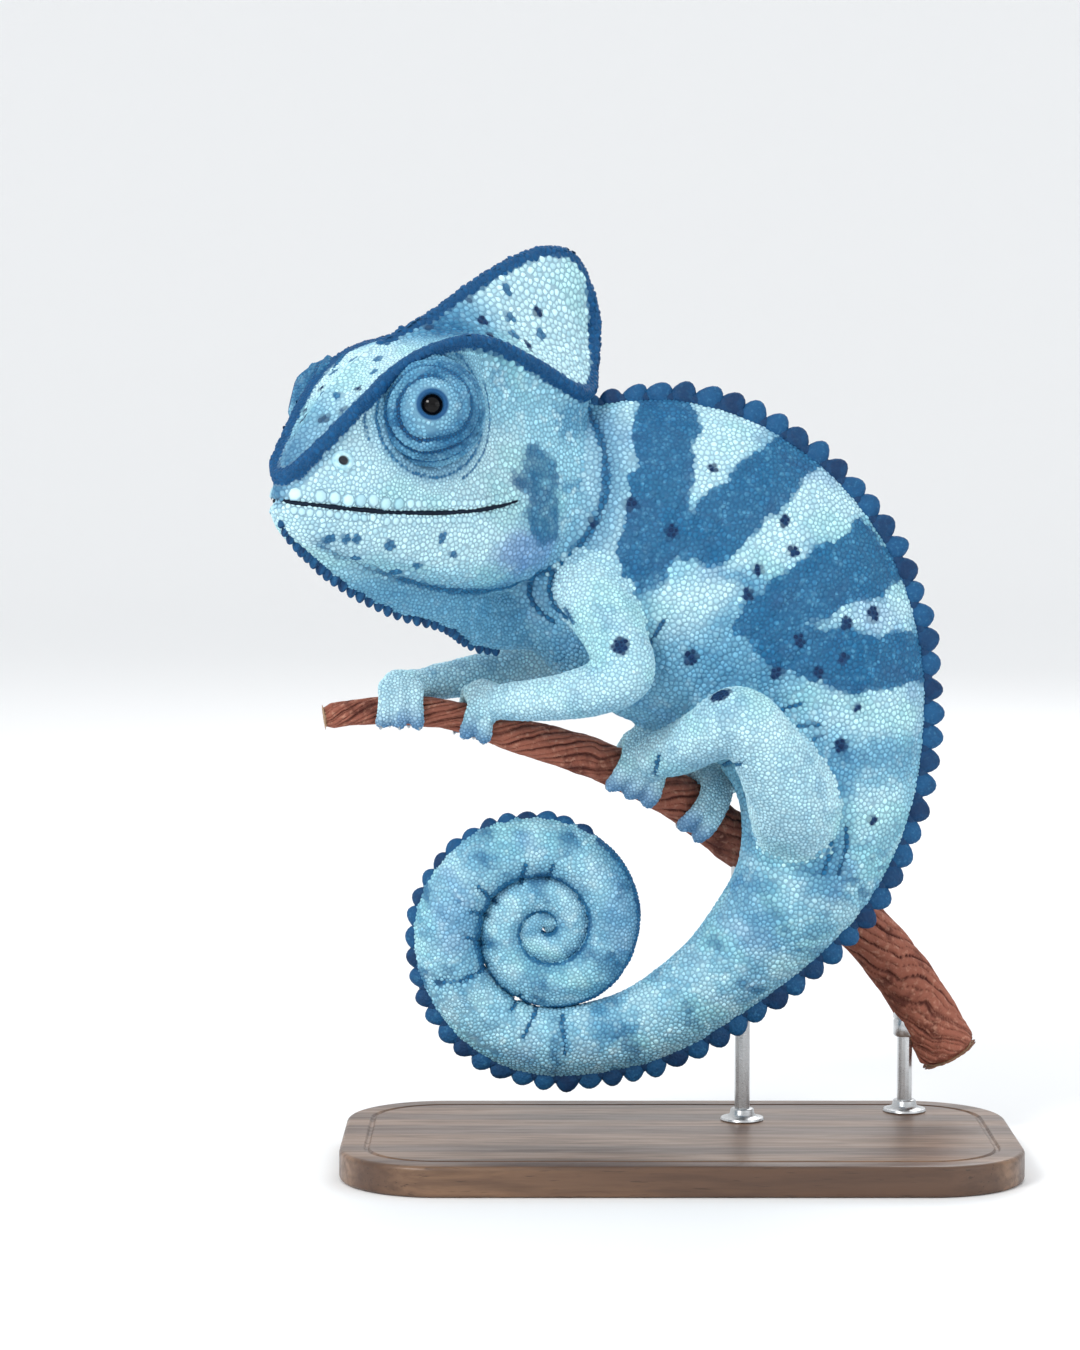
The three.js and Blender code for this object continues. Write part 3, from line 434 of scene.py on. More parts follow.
def joined_object(name, points, corners, sizes):
    """A scene object from joined copies of one shape: points, face corners and face sizes as arrays."""
    mesh = bpy.data.meshes.new(name)
    mesh.vertices.add(len(points))
    mesh.vertices.foreach_set("co", np.ascontiguousarray(points, np.float32).ravel())
    mesh.loops.add(len(corners))
    mesh.loops.foreach_set("vertex_index", corners.astype(np.int32))
    mesh.polygons.add(len(sizes))
    mesh.polygons.foreach_set("loop_start", np.append(0, np.cumsum(sizes)[:-1]).astype(np.int32))
    mesh.update(calc_edges=True)
    if mesh.validate():
        raise RuntimeError(f"{name} has broken faces")
    return linked(name, mesh)


def finished(obj, look, slot, *nodes):
    """Gives a piece its material, the nodes it stands for and its body; the slot is not used."""
    obj.data.materials.clear()
    obj.data.materials.append(look)
    if nodes:
        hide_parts(*nodes)
    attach(obj, BODY)


def store(obj, **layers):
    """Stores a value or colour for each vertex under each name."""
    for name, values in layers.items():
        colours = values.ndim == 2
        layer = obj.data.attributes.new(name, "FLOAT_COLOR" if colours else "FLOAT", "POINT")
        flat = np.ascontiguousarray(values, np.float32).ravel()
        layer.data.foreach_set("color" if colours else "value", flat)


def read(items, key, width=1, kind=np.float32):
    """One property of many items as an array."""
    values = np.empty(len(items) * width, kind)
    items.foreach_get(key, values)
    return values.reshape(-1, width) if width > 1 else values


def get_values(mesh, name):
    return read(mesh.attributes[name].data, "value")


def places_of(mesh):
    return read(mesh.vertices, "co", 3).astype(float)


def normals_of(mesh):
    return read(mesh.vertex_normals, "vector", 3).astype(float)


def move_to(mesh, co):
    """Sets a mesh's places, in millimetres."""
    mesh.vertices.foreach_set("co", (co * MM).astype(np.float32).ravel())
    mesh.update()


def tree_of(points):
    tree = kdtree.KDTree(len(points))
    for i, point in enumerate(points):
        tree.insert(point, i)
    tree.balance()
    return tree


def surface_of(mesh):
    return BVHTree.FromPolygons([v.co[:] for v in mesh.vertices], [p.vertices[:] for p in mesh.polygons])


def nearest_on(surface, points):
    """Nearest places on a surface, in millimetres, with the normals and the numbers of the faces there."""
    found = [surface.find_nearest(Vector(p * MM)) for p in points]
    places, normals, faces, _ = (np.array(part) for part in zip(*found))
    return places / MM, normals, faces


class Links:
    """A mesh's edges, for averaging values over each vertex's neighbours."""

    def __init__(self, mesh):
        pairs = read(mesh.edges, "vertices", 2, np.int32)
        self.a, self.b = np.concatenate([pairs, pairs[:, ::-1]]).T
        self.count = len(mesh.vertices)
        self.degree = np.maximum(np.bincount(self.a, minlength=self.count), 1)

    def mean(self, values):
        if values.ndim == 1:
            return np.bincount(self.a, weights=values[self.b], minlength=self.count) / self.degree
        return np.stack([self.mean(values[:, k]) for k in range(values.shape[1])], 1)


# ---------------------------------------------------------------- the skin's sleeves
TUBE_DOME = 0.06  # share of a tube's length in each domed end


def tube_lines(path):
    """Curves of the middle and the radius of a path of x, y, z, radius."""
    return curve([p[:3] for p in path]), curve([(p[3], 0, 0) for p in path])


def tube_place(path, grow=0.0, flat=1.0, across=(0, 1, 0), swell=None):
    """Places on a round tube through points that carry a radius, with domed ends."""
    line, size = tube_lines(path)
    across = np.asarray(across, float)

    def place(turn, share):
        t = np.clip((share - TUBE_DOME) / (1 - 2 * TUBE_DOME), 0, 1)
        dome = np.clip(np.minimum(share, 1 - share) / TUBE_DOME, 0, 1)
        along = heading(line, t)
        radius = size(t)[..., 0] + grow
        if swell is not None:
            radius = radius * swell(t)
        side = unit(np.broadcast_to(across, along.shape) - along * (along @ across)[..., None])
        over = np.cross(along, side)
        beyond = np.where(share < 0.5, -1, 1) * radius * 0.7 * (1 - np.sin(dome * math.pi / 2))
        ring = np.sin(dome * math.pi / 2) * radius
        out = side * (ring * flat * np.cos(TAU * turn))[..., None]
        rise = over * (ring * np.sin(TAU * turn))[..., None]
        return line(t) + along * (beyond * (dome < 1))[..., None] + out + rise

    return place


HEAD_AROUND = 96


def head_place(grow):
    """Places on the head: shares run from the snout to the back of the casque."""
    rows = np.append(SNOUT - np.array([0.0, 0.6, 1.5, 2.5]), np.linspace(SNOUT - 3.7, -14.5, 64))
    rows = np.append(rows, (-15.2, -15.7, CASQUE_BACK))
    outlines = []
    for u in rows:
        middle = (head_top(u) + head_bottom(u)) / 2
        away = closed_curve(np.array(head_section(u)), np.arange(HEAD_AROUND) / HEAD_AROUND) - (0, middle)
        reach = np.linalg.norm(away, axis=1, keepdims=True)
        shrink = math.sqrt(max(0.0, 1 - ((u - SNOUT + 4) / 4.6) ** 2)) if u > SNOUT - 4 else 1.0
        outlines.append((0, middle) + away * np.maximum(reach + grow, 0.2) / np.maximum(reach, 1e-6) * shrink)
    outlines = np.array(outlines)

    def place(turn, share):
        row, step = share * (len(rows) - 1), turn * HEAD_AROUND
        low = np.minimum(row.astype(int), len(rows) - 2)
        part = (row - low)[:, None]
        left = step.astype(int) % HEAD_AROUND
        within = (step - step.astype(int))[:, None]

        def pick(r):
            return mixed(outlines[r, left], outlines[r, (left + 1) % HEAD_AROUND], within)

        vw = mixed(pick(low), pick(low + 1), part)
        return from_head(np.column_stack([mixed(rows[low], rows[low + 1], part[:, 0]), vw]))

    return place


def closed_curve(points, share):
    """A closed centripetal curve through flat points."""
    wrapped = np.vstack([points[-2:], points, points[:3]])
    line = curve(np.column_stack([wrapped, np.zeros(len(wrapped))]))
    return line((2 + np.asarray(share) * len(points)) / (len(wrapped) - 1))[..., :2]


def throat_path():
    chin = ((78, -7, 3.2), (64, -13.5, 5.6), (46, -19, 7.2), (28, -21.5, 8.6))
    neck = [(-50.5, -7.5, 144.5, 9.4), (-40.0, -2.0, 144.0, 10.0)]
    return [(*from_head((u, 0, w)), r) for u, w, r in chin] + neck


def ridge_path(side):
    """The raised band of one side: over nostril and eye, up the casque's back edge to its peak."""
    us = (83.5, 80, 75, 69, 62, 56, 50, 44, 38, 31, 24, 17, 10, 3)
    places = [(u, float(ridge_out(u)) * 0.985, float(ridge_up(u)) - 0.2) for u in us]
    places += [(-2, 14.3, 31.6), (-6.5, 11.6, 33.2), (-10.5, 7.6, 38), (-13.6, 4.4, 45), (-15.0, 2.6, 52)]
    return from_head([(u, v * side, w) for u, v, w in places + [(-13.2, 1.6, 59.5)]])


def crown_path():
    """The raised band along the middle of the crown, from the casque's back to over the eyes."""
    us = (-14.8, -12.5, -9, -4, 2, 9, 17, 25, 33, 41, 48, 54)
    return from_head([(u, 0, float(head_top(u)) - 0.7) for u in us])


def snout_path():
    """Where the bands of both sides meet over the nostrils."""
    half = [(80, 6.4, 12.4), (82.9, 4.9, 9), (84.5, 2.4, 7), (84.9, 0, 6.5)]
    return from_head(half + [(u, -v, w) for u, v, w in half[-2::-1]])


def socket_ring(side, radius):
    """A ring round an eye turret, just outside the side of the head."""
    angles = np.linspace(0, TAU, 49)
    u, v, w = EYE_AT
    return from_head([(u + math.cos(a) * radius, side * (v + 3), w + math.sin(a) * radius) for a in angles])


def toe_path(name, way, i, count):
    """Middle line of one toe with its radius, from the palm round the branch."""
    toe = LIMBS[name][4]
    _, place = foot_place(name, way)
    path = []
    for share in np.linspace(0, 1, 7):
        thick = toe * (1 - 0.24 * share) * (1 + 0.07 * math.sin(share * 9.5))
        angle = mixed(TOE_START * 0.3, TOE_WRAP, share)
        lift = 0.2 + thick * 0.95 + 0.45 * math.sin(math.pi * share)
        path.append((*place(angle, lift, toe_slide(toe, i, count, share) * 0.94), thick - 0.25))
    return path


# ---------------------------------------------------------------- markings
# Patches over the flanks as x, z corners: steel blue bars, then pale wedges between them
BARS = (
    (1, ((-10, 206), (4, 206), (3, 166), (-7, 150), (-17, 148), (-15, 165))),
    (1, ((-4, 160), (5, 174), (21, 188), (31, 193), (40, 186), (22, 169), (7, 156))),
    (1, ((13, 147), (46, 168), (58, 160), (58, 152), (30, 141), (14, 138))),
    (0.95, ((16, 142), (34, 142), (66, 138), (66, 126), (44, 125), (29, 128), (17, 136))),
    (0.5, ((38, 113), (50, 112), (50, 105), (38, 106))),
)
PALES = (
    (1, ((4, 204), (30, 197), (7, 175), (2, 176))),
    (0.95, ((36, 183), (54, 172), (22, 155), (9, 157))),
    (1, ((-9, 150), (8, 157), (14, 151), (2, 138), (-8, 138))),
    (0.9, ((38, 143.5), (64, 156), (66, 141), (45, 141))),
    (0.8, ((34, 127), (64, 124), (62, 115), (36, 114))),
    (0.8, ((45, 100), (57, 100), (56, 86), (45, 86))),
    (1, ((-27, 190), (-11, 202), (-14, 156), (-24, 150))),
)
SHADES = (
    (0.9, ((-17, 160), (-9, 159), (-8, 136), (-14, 131))),
    (0.95, ((-2, 138), (23, 141), (30, 127), (2, 122))),
    (0.75, ((14, 155), (21, 154), (26, 141), (17, 139))),
    (0.9, ((30, 114), (44, 111), (42, 70), (32, 70))),
    (0.8, ((40, 113), (62, 112), (62, 102), (40, 103))),
    (0.8, ((-36, 158), (-22, 156), (-20, 132), (-40, 132))),
)
# Creases of the near arm and leg, made alike
LIMB_CREASES = (
    (0.7, ((-36.5, 157), (-39, 152.5), (-38.3, 147.5), (-33, 142.5))),
    (0.7, ((-32.8, 156), (-34, 151), (-32.5, 146.5), (-29.5, 144))),
    (0.5, ((-30, 146.5), (-28, 143))),
    (0.6, ((-5.8, 108.5), (-6.8, 104), (-5.6, 99.5))),
    (0.6, ((14.5, 107.5), (11, 105), (9.5, 102))),
)
# The dark smudge behind the mouth, as patches of u, w corners
SMUDGES = (
    ((25.5, 11), (17.6, 17), (7, 16), (8, 3), (19, 2.5), (23, 6)),
    ((19.5, 5), (8, 5), (7, -6), (12, -9), (20.5, -2)),
)
# Rear and lower edge of the head's side as u, w, from the chin round the jaw to the casque
JAW_EDGE = (
    (85, -3), (77, -9.5), (66, -13.8), (52, -17.2), (38, -19.6), (24, -20), (12, -17.5), (4.5, -11), (-1, -1),
    (-4.5, 13), (-6.5, 24), (-8, 32),
)
# Spots as x, z, radius on the flanks, and as u, v, w, radius on the head
FLANK_SPOTS = (
    (-23, 168, 0.9), (-13, 173, 1.6), (-3, 166, 1.6), (26, 169, 1.3), (28, 161, 1.2), (19, 156, 1.2),
    (16, 150, 1.4), (49, 145, 1.5), (42, 142, 1.3), (30, 138, 1.3), (41, 133, 1.3), (35, 130, 1.5),
    (24, 130, 1.5), (2, 134, 1.5), (45, 121, 0.9), (41, 111, 1.5), (50, 91, 1), (8, 182, 0.8),
)
LIMB_SPOTS = ((-16, -33, 138, 0.65), (9, -27, 125, 1.2), (14, 40, 117, 1.6), (-30, 33, 140, 1.4))
# u, v, w, radius and depth of colour
HEAD_SPOTS = (
    (17, 4, 57, 1.6, 0.5), (29, 3, 54, 1.2, 0.85), (27, 7, 48, 1.5, 1), (18, 7, 50, 1.7, 0.5),
    (8, 6, 52, 1.4, 1), (19, 10, 45, 1.5, 0.5), (9, 9, 46, 1.8, 0.55), (29, 11, 44.5, 1, 1),
    (16, 13, 42.5, 1.4, 1),
    (42, 4, 46, 1.3, 0.85), (60, 5, 37, 1.5, 0.5), (63, 8, 33, 1.3, 0.5), (71, 3, 27, 1.4, 0.55),
    (67, 7, 28.5, 1.1, 1), (75, 4, 21, 1.4, 0.85), (72, 7, 23, 1.1, 0.8), (78, 2, 16, 1.5, 0.85),
    (75, 7, -8, 1.4, 0.85), (71, 9, -8, 1.2, 0.8), (68, 10, -8, 1.2, 0.7), (66, 7, -13, 1.3, 0.8),
    (59, 11, -9, 1.5, 0.85), (53, 7, -16, 1.2, 0.7), (49, 10, -14, 1.1, 0.8), (44, 14, -7, 1.3, 0.8),
    (40, 13, -11, 1.1, 0.8),
)
# Creases of loose skin as depth and x, z points, on both flanks
CREASES = (
    (0.6, ((-5, 143), (-11, 134), (-20, 128.5))),
    (0.55, ((22.6, 118), (26, 120.6), (30.5, 122))),
    (0.55, ((24.3, 113.7), (29.5, 116.3), (35.2, 116.4))),
    (0.5, ((30.6, 110.6), (33.5, 112.6), (36.5, 113.8))),
    (0.6, ((38.5, 92), (38.6, 85), (36.6, 77.5))),
    (0.6, ((42.5, 90), (42.2, 83), (40.5, 77))),
    (0.45, ((34.4, 88), (34.2, 81))),
    (0.6, ((-50.2, 65.3), (-54.1, 67.1))),
    (0.6, ((-51.2, 57.9), (-56.2, 60.8))),
    (0.6, ((-50.4, 52.1), (-56, 49.4), (-63.5, 48.1))),
    (0.6, ((-41.5, 44.8), (-43.8, 41.2))),
    (0.6, ((-37.4, 40.7), (-40.9, 34))),
    (0.6, ((-30.6, 39.6), (-29.9, 29.8))),
    (0.7, ((-47.9, 68.9), (-52.3, 73.5))),
    (0.6, ((-41.4, 74), (-40.2, 79.2))),
    (0.6, ((-34.3, 75.6), (-33, 79))),
)
tail_numbers = np.linspace(0, LAST, 1200)
tail_steps = norms(np.diff(spine_line(tail_numbers / LAST), axis=0))
tail_reach = np.append(0, np.cumsum(tail_steps))


def bell(away, width):
    return np.exp(-((away / width) ** 2))


def patch(x, z, corners, soft):
    """1 inside a convex patch of corners, with a soft edge."""
    inside = np.full(len(x), 1e9)
    ring = list(zip(corners, corners[1:] + corners[:1]))
    way = -1 if sum((b[0] - a[0]) * (b[1] + a[1]) for a, b in ring) > 0 else 1
    for (ax, az), (bx, bz) in ring:
        off = ((bx - ax) * (z - az) - (bz - az) * (x - ax)) / math.hypot(bx - ax, bz - az)
        inside = np.minimum(inside, off * way)
    return smooth(-soft, soft, inside)


def line_distance(points, path, samples=24):
    """Distance from points to a curve through a path, in as many dimensions as it has."""
    path = np.asarray(path, float)
    flat = path.shape[1] == 2
    line = curve(np.column_stack([path, np.zeros(len(path))]) if flat else path)(np.linspace(0, 1, samples))
    line = line[:, :2] if flat else line
    best = np.full(len(points), 1e9)
    for a, b in zip(line[:-1], line[1:]):
        way = b - a
        t = np.clip((points - a) @ way / max(way @ way, 1e-9), 0, 1)
        best = np.minimum(best, norms(points - a - t[:, None] * way))
    return best


def crease_depth(points, zone):
    """Depth of the loose skin's creases."""
    xz = points[:, (0, 2)]
    depth = np.zeros(len(points))
    body = (zone == TRUNK_ZONE) | (zone == TAIL_ZONE)
    limb = body | ((zone == LIMB_ZONE) & (points[:, 1] < -10))
    for creases, soft in ((CREASES, body), (LIMB_CREASES, limb)):
        for deep, path in creases:
            depth[soft] = np.maximum(depth[soft], deep * bell(line_distance(xz[soft], path, 8), 0.8))
    h = to_head(points)
    cheek = (body | (zone == HEAD_ZONE) | (zone == THROAT_ZONE)) & (norms(h) < 100)
    side = smooth(3, 6, np.abs(h[cheek, 1])) * smooth(82, 70, h[cheek, 0])
    depth[cheek] = np.maximum(depth[cheek], 0.6 * side * bell(edge_distance(points[cheek]), 0.9))
    return depth


def edge_distance(points):
    """Distance from the head's rear and lower edge, above zero outside it and below zero on the face."""
    line = curve([(u, w, 0) for u, w in JAW_EDGE])(np.linspace(0, 1, 140))[:, :2]
    at = to_head(points)[:, (0, 2)]
    way = np.gradient(line, axis=0)
    gap = norms(at[:, None] - line[None])
    near = gap.argmin(1)
    off = at - line[near]
    return gap.min(1) * np.sign(way[near, 0] * off[:, 1] - way[near, 1] * off[:, 0])


def band_distance(points):
    """Distance to the raised bands of the head."""
    best = np.full(len(points), 1e9)
    for path in (ridge_path(1), ridge_path(-1), crown_path(), snout_path()):
        best = np.minimum(best, line_distance(points, path, 60))
    return best


def markings(points, zone, station, turn, level):
    """Masks of the pattern, where the skin faces up by level.

    The first four are bar, spot, band and shade, the others pale, violet, low and teal. Bar and shade also
    carry painted shade, as dark lines and washes in creases, round the head's edge and the turrets, where the
    coil's turns touch and on undersides; low is a painted shadow on the toes under the branch.
    """
    x, y, z = points.T
    bar, spot, band, shade, pale, violet, low = np.zeros((7, len(points)))

    def raise_to(mask, *layers):
        for layer in layers:
            np.maximum(mask, layer, out=mask)

    def cloud(pitch, seed):
        return waves(points, pitch, seed)

    drift = 1.5 * np.column_stack([cloud(14, 3), cloud(14, 4)])
    drift += 0.5 * np.column_stack([cloud(4, 5), cloud(4, 6)])
    drift3 = 0.25 * drift[:, (0, 1, 0)]
    px, pz = x + drift[:, 0], z + drift[:, 1]
    body = (zone == TRUNK_ZONE) | (zone == TAIL_ZONE)
    head = (zone == HEAD_ZONE) | (zone == THROAT_ZONE)
    limb, foot = zone == LIMB_ZONE, zone == FOOT_ZONE
    ridge = np.minimum(turn, 1 - turn)  # 0 on the back, 0.5 under the belly

    # Trunk and tail
    for strength, corners in BARS:
        raise_to(bar, strength * patch(px, pz, corners, 1.5))
    fade = np.where(px < 5, mixed(0.3, 1, smooth(142, 162, pz)), 1.0)
    bar *= fade * mixed(0.78, 1, smooth(-0.7, 0.5, cloud(13, 44)))
    for strength, corners in PALES:
        raise_to(pale, strength * patch(px, pz, corners, 3.0))
    upper = body & (station < TAIL_BASE - 0.4) & (z > 84)
    bar *= upper
    pale *= upper
    reach = np.interp(station, tail_numbers, tail_reach)
    rings = np.cos(TAU * (reach + 2.5 * cloud(11, 8)) / 17.5) + 0.5 * cloud(9, 9)
    tail = body * smooth(8.6, 10.5, station)
    raise_to(bar, 0.58 * tail * smooth(0.1, 1.3, rings) * mixed(1.0, 0.75, smooth(0.1, 0.4, ridge)))
    raise_to(pale, 0.55 * tail * smooth(0.2, 1.1, -rings))

    # Spots
    xz = np.column_stack([x, z]) + 0.35 * drift
    flat_body = body & (ridge > 0.05) & (ridge < 0.45)
    for sx, sz, radius in FLANK_SPOTS:
        away = np.hypot(xz[:, 0] - sx, (xz[:, 1] - sz) * 0.92)
        raise_to(spot, flat_body * smooth(radius + 0.55, radius - 0.1, away))
    for *at, radius in LIMB_SPOTS:
        away = norms(points + drift3 - at)
        raise_to(spot, (limb | body) * smooth(radius + 2.2, radius + 1.2, away) * (np.abs(y) > 15))
    h = to_head(points)
    u, v, w = h.T
    hp = np.column_stack([u, np.abs(v), w])
    for *at, radius, deep in HEAD_SPOTS:
        across = 1.0 if at[0] > 58 and at[2] > 10 else 0.7 if at[2] < 0 else 0.45
        away = norms((hp - at) * (1, across, 1) + drift3)
        fleck = head * smooth(radius + 0.3, radius - 0.25, away)
        if deep < 0.7 or at[2] < 0:
            raise_to(bar, mixed(0.72, 0.9, at[2] < 0) * fleck)
        else:
            raise_to(spot, deep * fleck)
    near = np.where(head)[0]
    band[near] = smooth(2.7, 2.15, band_distance(points[near]) + 0.12 * waves(points[near], 3, 10))
    spot *= 1 - band

    # Sides of the head
    side = head * (np.abs(v) > 5)
    wu, ww = u + 1.2 * drift[:, 0], w + 1.2 * drift[:, 1]
    raise_to(bar, 0.62 * side * np.max([patch(wu, ww, corners, 2.0) for corners in SMUDGES], axis=0))
    raise_to(violet, 0.8 * side * smooth(1.3, 0.6, np.hypot((wu - 17) / 11, (ww + 10) / 7)))
    raise_to(violet, 0.4 * body * smooth(0.4, 0.9, cloud(34, 12)))
    teal = smooth(0.1, 0.75, cloud(30, 14)) * 0.6
    over = w - ridge_up(u)
    plate = smooth(0.3, -1.2, np.abs(v) - ridge_out(u)) * smooth(-7, -5, over) * (u > 50)
    crown = head * np.maximum(smooth(-1.0, 1.5, over), plate) * (1 - band)
    dip = smooth(17, 6, np.hypot((u - 38) * 0.8, w - 46))
    raise_to(
        pale,
        crown * (1 - 0.9 * dip) * smooth(80, 66, u),
        head * 0.95 * smooth(-19, -10, w) * smooth(26, 16, w) * smooth(14, 24, u),
        (limb | foot) * mixed(0.6, 1.0, smooth(-0.5, 0.6, cloud(22, 15))),
    )
    socket = np.where(side, np.hypot(u - EYE_AT[0], w - EYE_AT[2]), 99)
    edge = edge_distance(points)
    cheeks = (head | body) * smooth(2.5, 6, np.abs(v)) * smooth(84, 74, u)
    under = smooth(0.8, -0.8, over)
    round_eye = np.arctan2(w - EYE_AT[2], u - EYE_AT[0])
    # Dark arcs of painted shade in the skin's folds round each turret
    arcs = bell(socket - 16.0, 0.55) + smooth(-0.4, 0.3, np.sin(2 * round_eye + 1)) * bell(socket - 18.6, 0.5)
    # Bar here also takes dark lines of painted shade along the head's rear and lower edge and in the folds
    # round the turrets
    raise_to(
        bar,
        0.9 * cheeks * bell(edge, 1.1) * (norms(h) < 100),
        head * np.clip(0.8 * arcs, 0, 0.8) * (1 - band) * under,
        0.62 * crown * smooth(11, 2, np.hypot((u - 39) * 0.75, w - 46)),
        0.5 * crown * smooth(71, 83, u),
    )
    # Painted shade round each turret's foot, on both sides of the head's rear and lower edge and under the
    # throat
    raise_to(
        shade,
        head * 0.95 * smooth(19.5, 14.5, socket) * (1 - band) * under,
        cheeks * smooth(8, 0.5, edge) * (edge > 0),
        cheeks * mixed(0.85, 0.5, smooth(10, 40, u)) * smooth(-7, 0, edge) * (edge <= 0),
        *(strength * body * patch(px, pz, corners, 4.0) for strength, corners in SHADES),
        crown * dip,
        crown * smooth(67, 80, u),
        head * smooth(-13, -22, w),
    )

    # Back, belly, coil and creases
    coiled = body * smooth(COIL_JOIN, COIL_JOIN + 2, station)
    free = station > CREST_END  # past the crest
    creased = crease_depth(points, zone)
    # Dark lines of painted shade where the coil's turns press together, at the crest's foot and in the
    # creases
    raise_to(
        bar,
        0.8 * np.clip(smooth(0.36, 0.425, ridge) + smooth(0.125, 0.07, ridge) * free, 0, 1) * coiled,
        0.6 * body * smooth(0.032, 0.0, ridge),
        np.clip(1.9 * creased - 0.25, 0, 1),
    )
    # Painted shade at the crest's foot, where the coil's turns touch, towards the belly, on the lower front
    # flank, in the creases and on down-facing sides; the clouds are the skin's own
    raise_to(
        shade,
        body * 0.8 * smooth(0.05, 0.0, ridge),
        0.75 * coiled * np.maximum(smooth(0.27, 0.4, ridge), smooth(0.2, 0.1, ridge) * free),
        body * 0.65 * smooth(0.30, 0.46, ridge) * (station < TAIL_BASE),
        body * 0.6 * smooth(0.38, 0.5, ridge),
        upper * 0.8 * smooth(0.0, 0.8, cloud(26, 41)) * (1 - pale),
        upper * 0.75 * smooth(150, 134, z) * smooth(34, 20, x),
        tail * 0.75 * smooth(-0.1, 0.8, cloud(15, 42)),
        1.4 * creased,
        0.45 * limb * smooth(0.3, 0.8, cloud(16, 17)),
        0.65 * (limb | foot) * smooth(-0.25, -0.9, level),
        0.5 * body * smooth(-0.3, -0.85, level),
    )
    # Painted shadow on the toes below the branch, in the low mask
    for name in LIMBS:
        hold = branch_at(LIMBS[name][1])
        away = points - hold["centre"]
        raise_to(low, (foot & (norms(away) < 22)) * smooth(2.0, -5.0, away @ hold["up"]))
    marks = np.column_stack([bar, spot, band, np.clip(shade, 0, 1)])
    return marks, np.column_stack([pale, violet, low, teal])


# ---------------------------------------------------------------- skin
COIL_JOIN = COIL_FIRST + 1.0  # the station where the coil's own sleeve begins
COIL_SWELL = 0.8  # soft flesh of turns that press on each other
COIL_GRID, TIP_GRID, HEAD_GRID = (54, 280), (24, 20), (HEAD_AROUND, 110)


def inside_body(number, turn, depth, scale):
    centre, *_, rise, _ = spine(number)
    return centre + (body_point(number, turn, -np.minimum(depth, 0.2 * rise)) - centre) * scale[:, None]


def body_place(depth):
    """Neck to tail base; its end narrows inside the coil's sleeve."""

    def place(turn, share):
        number = share * (COIL_JOIN + 2)
        return inside_body(number, turn, depth, 1 - 0.3 * smooth(COIL_JOIN + 1, COIL_JOIN + 1.9, number))

    return place


def coil_place(depth):
    """The tail's coil, whose turns lie too close together to be fused with the rest."""

    def place(turn, share):
        number = mixed(COIL_JOIN, LAST, share)
        tip = np.sqrt(1 - np.clip((share - 0.985) / 0.015, 0, 1) ** 2)
        swell = mixed(depth, -COIL_SWELL, smooth(COIL_JOIN + 0.5, COIL_JOIN + 3, number))
        swell = swell - 0.5 * smooth(LAST - 9, LAST - 3, number)
        return inside_body(number, turn, swell, (1 - 0.3 * smooth(COIL_JOIN + 0.9, COIL_JOIN, number)) * tip)

    return place


def tip_place():
    """The last curl of the tail's tip, in the middle of the coil."""
    before, end = spine(np.array([LAST - 2.0, LAST - 0.6]))[0]
    middle = np.array([COIL_AT[0], end[1], COIL_AT[1]])
    return tube_place([(*before, 1.5), (*end, 1.6), (*mixed(end, middle, 0.55), 1.5), (*middle, 1.3)])


